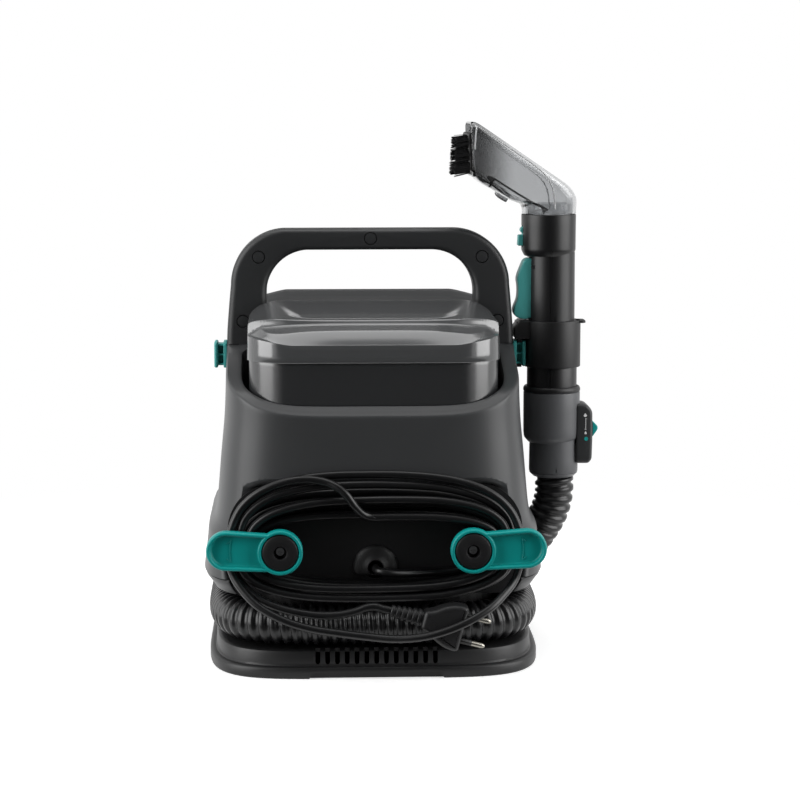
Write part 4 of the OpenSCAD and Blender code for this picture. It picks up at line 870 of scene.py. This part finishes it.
for side, label in both_sides:
    rib_tiles = [stud_plate(flange, stud_root, stud_root + 2.8, 0.5),
                 stud_plate(flange, stud_root + 7.2, stud_root + 10.2, 1.3)]
    for half_y, z0, z1 in ((2.5, -8.4, 8.4), (7, -8.5, -7), (7, -0.7, 0.7), (7, 7, 8.5)):
        rib = rounded_box(-half_y, half_y, stud_z + z0, stud_z + z1, 0.4, 3)
        rib_tiles.append(stud_plate(rib, stud_root + 2.7, stud_root + 7.3, 0.1))
    piece(f"stud_{label}", [solid(rows * [side, 1, 1]) for rows in rib_tiles], pale_teal, "body",
          [f"side_stud_{label}"])

# ---- Machinery ----
# Motor with its fan and housing, pump, duct and switch, all under the deck or in the spine. They are
# screwed to the pan and the deck. The power button stands in the spine's top, under the arch.

light_metal = moulded("light_metal", 0xb9bbbd, 0.4, grain=0.1, Metallic=1.0)
machine_black = moulded("machine_black", 0x1a1a1b, 0.5, grain=0.25)
finish_nodes(plated_steel, "motor_can", "motor_bearings", "motor_shaft")
finish_nodes(light_metal, "fan_impeller")
finish_nodes(machine_black, "fan_housing", "water_pump", "suction_duct", "switch_box")
button_profile = [[0, 222], [3, 222], [3, 232], [10.9, 232.2], [11, 232.6], [11, 237.6], [10.7, 238.5],
                  [10, 239], [9.4, 238.9], [8, 238.35], [5, 237.75], [0, 237.5]]
piece("power_button_cap", [tile(turned(button_profile, 72))], pale_teal, "button",
      ["power_button"])

# ---- Clean tank ----
# Smoked clear tank and lid, each an injection moulding. The lid slopes to the rear with a dished
# filling panel, steps down to a ledge, and closes over the tank's mouth. A spring valve is in the floor.

tank_half, tank_back, tank_front, tank_top = 94.4, 18.0, 119.0, 236.0
front_corner, arch_corner = 31, 10


def tank_outline(inset, side):
    """A tank's plan, with big corners away from the arch and small ones beside it, drawn in by inset.
    Every inset gives as many points, at the same shares of each straight and each corner."""
    corner, straight = 30, 26
    a, y0, y1 = tank_half - inset, tank_back + inset, tank_front - inset
    big, small = max(front_corner - inset, 0.02), max(arch_corner - inset, 0.02)
    if y1 - y0 < 0.2:
        y0 = y1 = (tank_back + tank_front) / 2
        y0, y1 = y0 - 0.01, y1 + 0.01
    if big + small > y1 - y0:
        small, big = 0.2 * (y1 - y0), 0.6 * (y1 - y0)
    points = []
    corners = [(a - big, y1 - big, big, 0), (-a + big, y1 - big, big, 90),
               (-a + small, y0 + small, small, 180), (a - small, y0 + small, small, 270)]
    for k, (cx, cy, r, start) in enumerate(corners):
        turn = np.radians(start + np.linspace(0, 90, corner))
        arc = np.column_stack([cx + r * np.cos(turn), cy + r * np.sin(turn)])
        nx, ny, nr, nstart = corners[(k + 1) % 4]
        first = np.radians(nstart)
        far = np.array([nx + nr * np.cos(first), ny + nr * np.sin(first)])
        count = (4 - k % 2) * straight
        line = arc[-1] + (far - arc[-1]) * (np.arange(1, count) / count)[:, None]
        points += [arc, line]
    return np.vstack(points) * [1, side]


def wall_rows(levels, side):
    """Rows of the tank's plan: each level is an inset and a height."""
    return [raised(tank_outline(inset, side), z) for inset, z in levels]


def clear_moulding(name, code, roughness, clearness=1.0, gloss=0.7):
    """Clear or smoked plastic, by its share of transmission and its gloss."""
    return moulded(name, code, roughness, grain=0.0, grain_mm=2.0, mottle=0.04,
                   Transmission_Weight=clearness, IOR=1.52, Specular_IOR_Level=gloss)


smoked = clear_moulding("smoked_plastic", 0x2f3031, 0.22, 0.15, 1.0)
smoked_lid = clear_moulding("smoked_lid", 0x4c4d4e, 0.17, 0.15, 1.0)
tank_levels = [(5, 112), (2.2, 112.4), (0.9, 113.4), (0.2, 115.4), (0, 118), (0, 160), (0, 200), (0, 230),
               (0, 235.4), (0.3, 235.8), (0.8, 235.95), (1.6, 235.95), (2.1, 235.8), (2.4, 235.4),
               (2.4, 200), (2.4, 160), (2.4, 120), (2.8, 116.4), (4, 115), (6.5, 114.6)]


def tank_floor(levels, side):
    """The double wall of a tank, closed by a floor of which the rows run in to the middle line."""
    insets = (50.4, 40, 25, 12)
    low = [(inset, levels[0][1]) for inset in insets]
    high = [(inset, levels[-1][1]) for inset in insets[::-1]]
    return solid(np.stack(wall_rows(low + levels + high, side)))


def floor_hole(radius, x, y, sides):
    """A cutter through a tank's floor."""
    return solid(turned([[radius, deck_z - 4], [radius, deck_z + 8]], sides) + [x, y, 0])


valve_x, valve_y = -60, -70
piece("clean_tank_moulding", [tank_floor(tank_levels, -1)], smoked, "clean_tank_body",
      ["clean_tank"], cutters=[[floor_hole(7.1, valve_x, valve_y, 48)]])


def soft_step(x):
    """0 to 1 with a level start and end."""
    x = np.clip(x, 0, 1)
    return x * x * (3 - 2 * x)


def lid_height(x, y, inset):
    """Height of the clean lid's top: a plane that falls to the rear, sides that round down to one height,
    a dished panel, then a step to a ledge that rounds over to the front face."""
    plane = 271.2 + 0.106 * (y + 17)
    u = np.clip((np.abs(x) - 67.5) / 28.4, 0, 1)
    upper = plane - (plane - 257.4) * (1 - (1 - u ** 1.9) ** (1 / 1.9))
    half = 63 + 13 * np.clip((y + 92) / 66, 0, 1)
    corner = 20.0
    dx, dy = np.abs(x) - half + corner, np.maximum(-92 + corner - y, y + 24 - corner * 0.2)
    outside = np.hypot(np.maximum(dx, 0), np.maximum(dy, 0)) + np.minimum(np.maximum(dx, dy), 0) - corner
    upper = upper - (0.4 + 2.6 * soft_step((-20 - y) / 40)) * soft_step(-outside / 14)
    side = np.clip(np.abs(x) / 97.5, 0, 1) ** 4
    run = -97 + 15 * side - y
    ledge = 259.4 - 0.36 * np.maximum(run - 3, 0) - 4.6 * side
    edge = 245.8 + 0.14 * np.maximum(np.abs(x) - 62, 0)
    share = np.clip((11 - inset) / 10.2, 0, 1)
    ledge = ledge - (ledge - edge) * share ** 2
    return upper + (ledge - upper) * soft_step(run / 3.4)


lid_wall, lid_seat_z = 2.3, tank_top + 0.15
top_levels = np.concatenate([[-0.75, -0.5625, -0.3], np.linspace(0.2, 10, 22), np.linspace(10.8, 26, 28),
                             np.linspace(27.5, 50.6, 20)])


def lid_shell(height, side, skirt, seat, near_arch):
    """A lid: skirt, top and inside. The top's rows are the plan drawn in step by step, with their height
    from the formula. Draft takes the wall in a little towards the top."""
    bottom = tank_top - 3.4
    edge = tank_outline(top_levels[0], side)
    edge_z = height(edge[:, 0], edge[:, 1], top_levels[0] + skirt)
    draft = ((0, 0.4), (0, 0), (0.012, 0.15), (0.05, 0.15), (0.08, 0), (0.35, 0.16), (0.7, 0.4),
             (0.97, 0.6))
    rows = [raised(tank_outline(inward - skirt, side), bottom + (edge_z - bottom) * share)
            for share, inward in draft]
    inside_levels = np.maximum(top_levels[::-2], 1.6)
    for levels, depth in ((top_levels, 0), (inside_levels, lid_wall)):
        for inset in levels:
            o = tank_outline(inset, side)
            rows.append(raised(o, height(o[:, 0], o[:, 1], inset + skirt) - depth))
    rows += wall_rows([(1.6, tank_top + 0.9), (1.2, lid_seat_z), (-seat, lid_seat_z),
                       (-seat, bottom + 0.05)], side)
    shell = np.stack(rows)
    shell[..., 1] = side * np.maximum(side * shell[..., 1], near_arch)
    return shell


clean_shell = lid_shell(lid_height, -1, 1.5, 0.4, 17.0)
piece("clean_lid_moulding", [hollow(clean_shell)], smoked_lid, "clean_lid_body",
      ["clean_lid"], crease=30)

finish_nodes(machine_black, "tank_valve_seat")
finish_nodes(pale_teal, "tank_valve")
finish_nodes(plated_steel, "valve_spring")

# ---- Dirty tank ----
# Smoked tank in front of the arch with a dark hood, which has a recess for the fingers. A standpipe
# takes the air down, and a float in a cage shuts it off when the tank is full.

dark_smoked = clear_moulding("dark_smoked_plastic", 0x2f3031, 0.22, 0.15)
pipe_y = 40
piece("dirty_tank_moulding", [tank_floor(tank_levels, 1)], dark_smoked, "dirty_tank_body",
      ["dirty_tank"], cutters=[[floor_hole(12.1, 0, pipe_y, 64)]])


def hood_height(x, y, inset):
    """Height of the hood's top: nearly level, then down to the front in a wide curve, with chamfered
    sides and rounded edges."""
    top = np.interp(y, [18, 30, 44, 56, 68, 80, 92, 103, 111, 117, 121],
                    [266.8, 270.2, 272.9, 273.6, 272.6, 270.0, 266.0, 261.0, 256.2, 251.4, 247])
    x_fall = np.maximum(np.abs(x) - 66, 0)
    top = top - 0.28 * x_fall ** 2 / (x_fall + 5)
    finger_y, finger_r, finger_half = 121, 12, 34
    finger = 262 - np.sqrt(np.maximum(finger_r ** 2 - (y - finger_y) ** 2, 0))
    finger = finger + 40 * soft_step((np.abs(x) - finger_half) / 3)
    top = np.where(np.abs(y - finger_y) < finger_r, np.minimum(top, finger), top)
    share = np.clip((6 - inset) / 6, 0, 1)
    rounding = np.where(y < 40, 1.2, 6.0)
    return top - rounding * (1 - np.sqrt(1 - share ** 2))


hood_shell = lid_shell(hood_height, 1, 0.5, 0.3, 18.0)
hood_grey = casing("hood_grey", 0x2c2d2e, 0.5, Specular_IOR_Level=0.35)
piece("hood", [hollow(hood_shell)], hood_grey, "dirty_lid_body", ["dirty_lid"], crease=30)
finish_nodes(machine_black, "inlet_pipe", "float_cage")
finish_nodes(pale_teal, "float_ball")

# ---- Cuff and flow control ----
# Grey two-part sleeve that joins the hose to the wand, with a black ring at its top. A box on its
# outer side holds the flow control: a teal slider, with marks for more and less on the rear face.

wand_x, cuff_x, riser_x = 145.5, 147.3, 148.0


def upright_turned(profile, x):
    """A surface of revolution about a vertical axis at that X."""
    return turned(profile, 96) + [x, 0, 0]


def bar(radius, x, low, high):
    """A plain round cutter about a vertical axis at that X."""
    return solid(upright_turned([[radius, low], [radius, high]], x))


cuff_grey = casing("cuff_grey", 0x515254, 0.42)
hose_socket = [bar(15.9, riser_x, 120, 147)]
air_way = [bar(10.5, riser_x, 146, 181)]
wand_seat = [bar(20.05, wand_x, 172, 205)]
lower_sleeve = [[0.02, 127.2], [15.7, 127.2], [16.3, 127.4], [19.1, 130.1], [19.2, 130.5], [18.9, 130.7],
                [18.9, 131.1], [19.4, 131.3], [19.58, 131.9], [19.55, 140], [19.4, 150], [19.3, 159],
                [0.02, 159]]
upper_sleeve = [[0.02, 155], [18.3, 155], [18.8, 155.2], [21.4, 158.2], [21.9, 159.1], [22.15, 160.2],
                [22.5, 163.5], [22.55, 168], [22.6, 180], [22.6, 194.9], [22.45, 195.5], [22, 195.9],
                [0.02, 195.9]]
key_notch = [box_tile((147.3, -20.5, 132), (148.0, -18.6, 135.6))]
piece("cuff_lower_sleeve", [tile(upright_turned(lower_sleeve, cuff_x))], cuff_grey, "wand",
      ["hose_cuff"], crease=30, cutters=[hose_socket, air_way, key_notch])
piece("cuff_upper_sleeve", [tile(upright_turned(upper_sleeve, wand_x))], cuff_grey, "wand",
      crease=30, cutters=[wand_seat, air_way])
ring_profile = [[20.1, 196.1], [22.1, 196.1], [22.6, 196.3], [22.8, 196.8], [22.8, 198.3], [22.6, 199],
                [21.9, 200.1], [21.4, 200.35], [20.4, 200.35], [20.1, 200.1]]
piece("cuff_collar", [hollow(upright_turned(ring_profile, wand_x))], black_moulding, "wand",
      ["cuff_ring"])

box_outline = rounded_polygon([[163, 138.6], [174.4, 138.6], [177, 142], [177.4, 158], [177.2, 181],
                               [172.6, 186.4], [163, 186.5]], 4, 7)
round_cuff = [[bar(22.75, wand_x, 154.5, 200)], [bar(19.75, cuff_x, 120, 159.5)]]
box_grey = casing("box_grey", 0x303132, 0.42)
piece("flow_control_box", [slab(box_outline, -13, 13, 2.6, 6)], box_grey, "wand",
      ["control_box"], cutters=round_cuff + [[box_tile((174, -3.3, 149), (180, 3.3, 176))]])
white_print = moulded("white_print", 0xe8e8e8, 0.5, grain=0.0, mottle=0.02)
teal_print = moulded("teal_print", 0x12a09c, 0.5, grain=0.0, mottle=0.02)


def printed(outline):
    """A mark on the box's rear face, drawn in X and Z."""
    return slab(outline, -13.14, -12.95, 0.03, 1)


def drop_mark(x, z, r):
    """Outline of a drop: a circle whose top is drawn out to a point."""
    a = np.linspace(0, 2 * np.pi, 24, endpoint=False)
    upper = np.clip(np.cos(a), 0, 1)
    return np.column_stack([x + r * np.sin(a) * (1 - 0.35 * upper),
                            z + r * np.cos(a) * (1 + 0.55 * upper ** 3)])


mark_x = 171.2
line_mark = rounded_box(mark_x + 0.2, mark_x + 0.7, 166.4, 174.6, 0.2, 3)
caps_mark = [rounded_box(mark_x - 0.25, mark_x + 1.15, z, z + 0.5, 0.2, 3) for z in (166, 174.5)]
drops = (drop_mark(mark_x, 177.4, 1.25), drop_mark(mark_x + 0.4, 163.2, 1.0))
piece("flow_marks_white", [printed(o) for o in (*drops, line_mark, *caps_mark)], white_print, "wand")
dot = np.linspace(0, 2 * np.pi, 32, endpoint=False)
dot_mark = [mark_x + 0.9, 158.6] + 1.55 * np.column_stack([np.cos(dot), np.sin(dot)])
piece("flow_mark_teal", [printed(dot_mark)], teal_print, "wand")
knob_outline = rounded_polygon([[177.75, 159.5], [178.6, 159.5], [182.4, 165], [182.4, 167.5],
                                [178.6, 171.5], [177.75, 171.5]], 1.2, 5)
knob = [slab(knob_outline, -5, 5, 0.7), box_tile((174.3, -3, 160), (178.2, 3, 171))]
piece("flow_slider_knob", knob, teal, "slider", ["flow_slider"])

# ---- Wand ----
# Black hand grip with a wider head, in two half shells with a fine parting line. It holds the teal
# trigger on a steel pin, and a catch for the nozzle. The bracket hangs it on the stud.

head_x, grip_x, neck_x = 141.9, 144.0, 143.1
pin_x, pin_z = 128.5, 296
grip_profile = [[0.02, 172], [19.4, 172], [19.8, 172.3], [20, 172.9], [19.95, 200], [19.9, 215.2],
                [19.8, 215.7], [19.4, 216], [19, 216.1], [19, 252.9], [19.2, 253.1], [19.2, 262],
                [19.15, 275], [19.1, 290], [19.05, 307], [0.02, 307]]
head_profile = [[0.02, 304.4], [19.0, 304.4], [19.5, 304.9], [20.3, 306.4], [21.2, 308.2], [21.55, 309.1],
                [21.62, 310.4], [21.6, 318], [21.65, 328], [21.7, 336.3], [21.6, 337.0], [21.2, 337.4],
                [0.02, 337.4]]
air_bore = [bar(11, 149.3, 165, 350)]
wand_black = moulded("wand_black", 0x101011, 0.36, grain=0.2, grain_mm=0.45, mottle=0.04)
trigger_pocket = [box_tile((121, -9.2, 253.2), (136, 9.2, 303.5))]
latch_pocket = [box_tile((120, -5.2, 311.5), (129, 5.2, 328.5))]
pin_hole = [solid(facing_rear(turned([[1.55, -22], [1.55, 22]], 32)) + [pin_x, 0, pin_z])]
parting = [box_tile((head_x, y, 170), (head_x + 0.25, y + 3.9, 345)) for y in (-21.5, 17.6)]
grip = turned(grip_profile, 96)
grip[..., 0] += np.where(grip[..., 2] > 253, grip_x, wand_x)
piece("wand_grip", [tile(grip)], wand_black, "wand", ["wand_tube"], crease=32,
      cutters=[air_bore, trigger_pocket, pin_hole, parting])
piece("wand_head", [tile(upright_turned(head_profile, head_x))], wand_black, "wand",
      crease=32, cutters=[[bar(18.1, neck_x, 334, 350)], air_bore, trigger_pocket, latch_pocket, pin_hole,
                          parting])

bracket_low, bracket_high = 216.0, 253.0
sleeve_profile = [[19.08, bracket_low + 0.3], [19.4, bracket_low], [22.1, bracket_low],
                  [22.5, bracket_low + 0.3], [22.6, bracket_low + 0.9], [22.6, bracket_high - 0.9],
                  [22.5, bracket_high - 0.3], [22.1, bracket_high], [19.4, bracket_high],
                  [19.08, bracket_high - 0.3]]
bracket_bore = [bar(19.06, wand_x, 200, 260)]
lip = rounded_polygon([[158, -9], [169.4, -9], [171.5, -7], [171.5, 7], [169.4, 9], [158, 9]], 3, 5)
block = rounded_polygon([[114.25, 239], [114.25, bracket_high - 5.4], [118.4, bracket_high],
                         [128, bracket_high], [128, 239]], 1.6, 5)
web = rounded_box(118, 130, bracket_low, bracket_high, 0.8, 3)
tongue = rounded_polygon([[-8, bracket_low], [14, bracket_low], [14, bracket_high - 1],
                          [-5, bracket_high - 1], [-8, bracket_high - 4]], 0.8, 3)
stud_slot = [box_tile((115.5, -13.4, stud_z - 8.9), (121.2, 7.45, stud_z + 8.9)),
             box_tile((120.3, -13.4, stud_z - 10.95), (124.1, 10.45, stud_z + 10.95))]
for label, part, cutters in (("sleeve", hollow(upright_turned(sleeve_profile, wand_x)), [stud_slot[1]]),
                             ("lip", solid(plate(lip, bracket_high - 2, bracket_high, 0.5)), bracket_bore),
                             ("block", slab(block, -12, 14, 0.8), bracket_bore),
                             ("web", slab(web, 11, 14, 0.5), bracket_bore),
                             ("tongue", solid(stud_plate(tongue, 116.6, 120.4, 0.3)), [stud_slot[0]])):
    piece(f"bracket_{label}", [part], black_moulding, "wand",
          ["wand_bracket"] if label == "sleeve" else (), cutters=[cutters])

# Trigger and nozzle catch
trigger_edge = closed_smooth([[124.4, 302.2], [121.8, 300.6], [120.2, 297.4], [118.5, 293.2], [117.0, 289],
                              [116.4, 285.4], [117.0, 281], [117.2, 275.5], [116.5, 269.6], [114.4, 264.4],
                              [113.7, 260.2], [115.2, 256.8], [118.6, 254.9], [124.4, 254.5],
                              [128.2, 256.6], [129.2, 266], [129.4, 280], [130.2, 289.4], [132, 295],
                              [130.6, 300.4], [127.6, 302.2]], 5)
teal_lever = moulded("teal_lever", 0x479b98, 0.44, grain=0.25, grain_mm=0.4, mottle=0.04)
piece("trigger_lever_moulding", [slab(trigger_edge, -8.8, 8.8, 1.1, 5)], teal_lever, "trigger_lever",
      ["trigger"])
finish_nodes(screw_steel, "trigger_pin")
latch_edge = rounded_polygon([[117.1, 312.4], [124, 312], [124, 327.6], [121.6, 327.6], [119.6, 326.4],
                              [118.9, 324.6], [119.6, 323.2], [121.1, 321.9], [120.6, 321.0],
                              [117.5, 320.8]], 0.9, 5)
piece("nozzle_catch", [slab(latch_edge, -4.9, 4.9, 0.7)], teal_lever, "latch",
      ["nozzle_latch"])

# ---- Nozzle and brush ----
# Clear smoked funnel of two welded shells that pushes into the wand's head against a seal. A black
# gasket closes off the spray chamber in its belly, and the brush bar is clipped into the mouth.

mouth_w = 66.0
stations = np.array([[163.4, 337.8, 120.6, 337.8], [163.4, 341.0, 120.4, 341.0],
                     [163.4, 347.3, 119.4, 344.6], [162.6, 351.2, 117.2, 346.0],
                     [160.0, 355.8, 113.2, 347.4], [155.8, 360.3, 109.0, 349.2],
                     [149.4, 364.9, 104.2, 351.9], [136.0, 373.9, 99.5, 354.7], [119.5, 385.0, 95.0, 357.4],
                     [103.5, 395.8, 90.5, 359.9], [90.5, 404.6, 86.6, 362.2], [83.6, 409.0, 83.4, 364.8],
                     [80.2, 410.2, 81.6, 367.0]])
fine_stations = smooth(stations, 5)
share_along = np.linspace(0, 1, len(fine_stations))


def funnel(inset):
    """Sections of the nozzle: between the back and the belly a superellipse, round at the neck and nearly
    square at the mouth. Its half width grows towards the mouth, fastest at first and slowest at its end."""
    rows = []
    for (bx, bz, cx, cz), t in zip(fine_stations, share_along):
        back, belly = np.array([bx, bz]), np.array([cx, cz])
        middle, long = (back + belly) / 2, np.linalg.norm(back - belly)
        half = mouth_w / 2 - (mouth_w / 2 - 20.5) * np.clip((middle[0] - 78) / 65, 0, 1) ** 1.7
        power = 2 + 7 * np.clip(t / 0.75, 0, 1) ** 1.3
        a = np.linspace(0, 2 * np.pi, 120, endpoint=False) + 0.013
        flat = signed_power(np.cos(a), 2 / power) * (long / 2 - inset)
        wide = signed_power(np.sin(a), 2 / power) * (half - inset)
        xz = middle + flat[:, None] * (back - belly) / long
        rows.append(upright(xz, wide))
    return rows


outer_rows = funnel(0)
lip_out = outer_rows[-1] + [-1.6, 0, 0]
middle_lip = lip_out.mean(axis=0)
rounded_lip = [lip_out, middle_lip + (lip_out - middle_lip) * [1, 0.985, 0.975] + [-0.9, 0, 0],
               middle_lip + (lip_out - middle_lip) * [1, 0.955, 0.925] + [-1.1, 0, 0]]
nozzle_tile = hollow(np.stack(outer_rows + rounded_lip + funnel(2.3)[::-1]))
neck_profile = [[15.8, 335.1], [17.6, 335.1], [18, 335.6], [18, 343.9], [18, 346], [15.8, 346]]
clear_grey = clear_moulding("clear_grey", 0xbcbdbe, 0.06)
# Painted shade and painted light: the tint is darkened towards the mouth and lightened towards the neck,
# along X
clear_tree = clear_grey.node_tree
painted_shading_mix, spot = shader_node(clear_tree, "Mix", Factor=1.0), shader_node(clear_tree, "SeparateXYZ")
painted_shading_mix.data_type, painted_shading_mix.blend_type = "RGBA", "MULTIPLY"
painted_shading_ramp = shader_node(clear_tree, "MapRange", From_Min=0.083, From_Max=0.116, To_Min=0.42, To_Max=1.25)
painted_shading_ramp.interpolation_type = "SMOOTHSTEP"
base_socket = clear_tree.nodes["Principled BSDF"].inputs["Base Color"]
linked(clear_tree, (base_socket.links[0].from_socket, painted_shading_mix.inputs["A"]),
       (clear_tree.nodes["Texture Coordinate"].outputs["Object"], spot.inputs[0]),
       (spot.outputs["X"], painted_shading_ramp.inputs["Value"]), (painted_shading_ramp.outputs[0], painted_shading_mix.inputs["B"]),
       (painted_shading_mix.outputs["Result"], base_socket))
piece("nozzle_funnel", [nozzle_tile, hollow(upright_turned(neck_profile, neck_x))], clear_grey,
      "nozzle_head", ["nozzle"], crease=40)


def side_of_funnel(path, inset=0.0, side=-1):
    """A path in X and Z laid on one side of the funnel, by the nearest points of the funnel's grid."""
    grid = np.concatenate(outer_rows)
    grid = grid[grid[:, 1] * side > 4]
    gap = np.linalg.norm(grid[None, :, [0, 2]] - path[:, None, :], axis=2)
    near = np.argsort(gap, axis=1)[:, :4]
    weight = 1 / (np.take_along_axis(gap, near, 1) + 0.05)
    y = (grid[near, 1] * weight).sum(axis=1) / weight.sum(axis=1)
    return upright(path, y - side * inset)


chamber = even(smooth([[80.6, 389], [81.6, 404.4], [84.6, 405.2], [104, 392.3], [124, 378.8],
                       [133.5, 371.4], [139.6, 364], [143.2, 354.5], [144.8, 342]], 6), 1.0)
# A bead along the chamber's weld on each side of the funnel. Its plastic is paler, rougher and less clear
# than the funnel's, which is a painted highlight along the line.
weld_bead_and_highlight = clear_moulding("weld_line_and_highlight", 0xc9cacb, 0.3, 0.4)
beads = [solid(sweep(side_of_funnel(chamber, -0.1, side), 0.6, 8, first=(0, 1, 0))) for side in (-1, 1)]
piece("nozzle_weld_line", beads, weld_bead_and_highlight, "nozzle_head")
gasket_route = [[92.6, 360.4], [96.0, 365.6], [99, 364.2], [120, 351.6], [139.5, 341.2]]
gasket_line = even(smooth(gasket_route, 4), 1.5)
gasket_half = np.abs(side_of_funnel(gasket_line)[:, 1]) - 2.9
gasket_rows = []
along_line = np.gradient(gasket_line, axis=0)
across_line = along_line[:, ::-1] * [-1, 1] / np.linalg.norm(along_line, axis=1)[:, None]
for (x, z), (nx, nz), half in zip(gasket_line, across_line, gasket_half):
    gasket_rows.append([[x + nx * s * 0.75, y * half, z + nz * s * 0.75]
                        for s, y in ((-1, -1), (1, -1), (1, 1), (-1, 1))])
gasket_black = moulded("gasket_black", 0x0e0e0e, 0.6, grain=0.2)
piece("spray_gasket", [solid(np.array(gasket_rows))], gasket_black, "nozzle_head")
finish_nodes(gasket_black, "nozzle_seal")
spray_profile = [[0.9, -6.6], [2.6, -6.6], [3.1, -6.1], [3.2, -2], [3.0, 1], [2.4, 3.4], [1.4, 4.8],
                 [0.9, 4.9]]
spray_lean = np.radians(-60)
c, s = np.cos(spray_lean), np.sin(spray_lean)
spray = turned(spray_profile, 40) @ np.array([[c, 0, -s], [0, 1, 0], [s, 0, c]]) + [103.6, 0, 352.4]
piece("spray_jet", [hollow(spray)], clear_grey, "nozzle_head", ["spray_tip"])

bar_outline = rounded_polygon([[78.6, 402], [75.9, 401.4], [75.5, 399.5], [77.2, 373.5], [78.2, 371.6],
                               [80.6, 371.2]], 1.2, 4)
brush_black = moulded("brush_black", 0x141414, 0.5, grain=0.2)
piece("brush_bar", [slab(bar_outline, -31, 31, 0.8)], brush_black, "nozzle_head",
      ["brush"], cutters=[[box_tile((70, -25, 378), (90, 25, 394))]])
scatter = np.random.default_rng(7)
square = np.array([[0, 1, 1], [0, -1, 1], [0, -1, -1], [0, 1, -1]]) * 0.24
bristles = []
tufts = [(y, 374.6 + 9.9 * k, 4.7, 84) for y in (-27, 27) for k in range(3)]
tufts += [(y, 375 + 22 * k, 3.1, 34) for y in (-17, -8.5, 0, 8.5, 17) for k in (0, 1)]
for ty, tz, radius, count in tufts:
    r = radius * np.sqrt(scatter.uniform(0, 1, count))
    a = scatter.uniform(0, 2 * np.pi, count)
    root = np.column_stack([np.full(count, 77.0), ty + r * np.cos(a), tz + r * np.sin(a)])
    reach = scatter.uniform(9.6, 11.2, count) + 0.07 * (395 - tz)
    tip = root + np.column_stack([-reach, (root[:, 1] - ty) * 0.22 + scatter.normal(0, 0.25, count),
                                  (root[:, 2] - tz) * 0.1 - 1.8 + scatter.normal(0, 0.5, count)])
    for low, high in zip(root, tip):
        bristles.append(solid(np.stack([low + square, (low + high) / 2 + square, high + square * 0.7])))
bristle_black = moulded("bristle_black", 0x101011, 0.4, grain=0.0, mottle=0.2)
piece("brush_bristles", bristles, bristle_black, "nozzle_head")
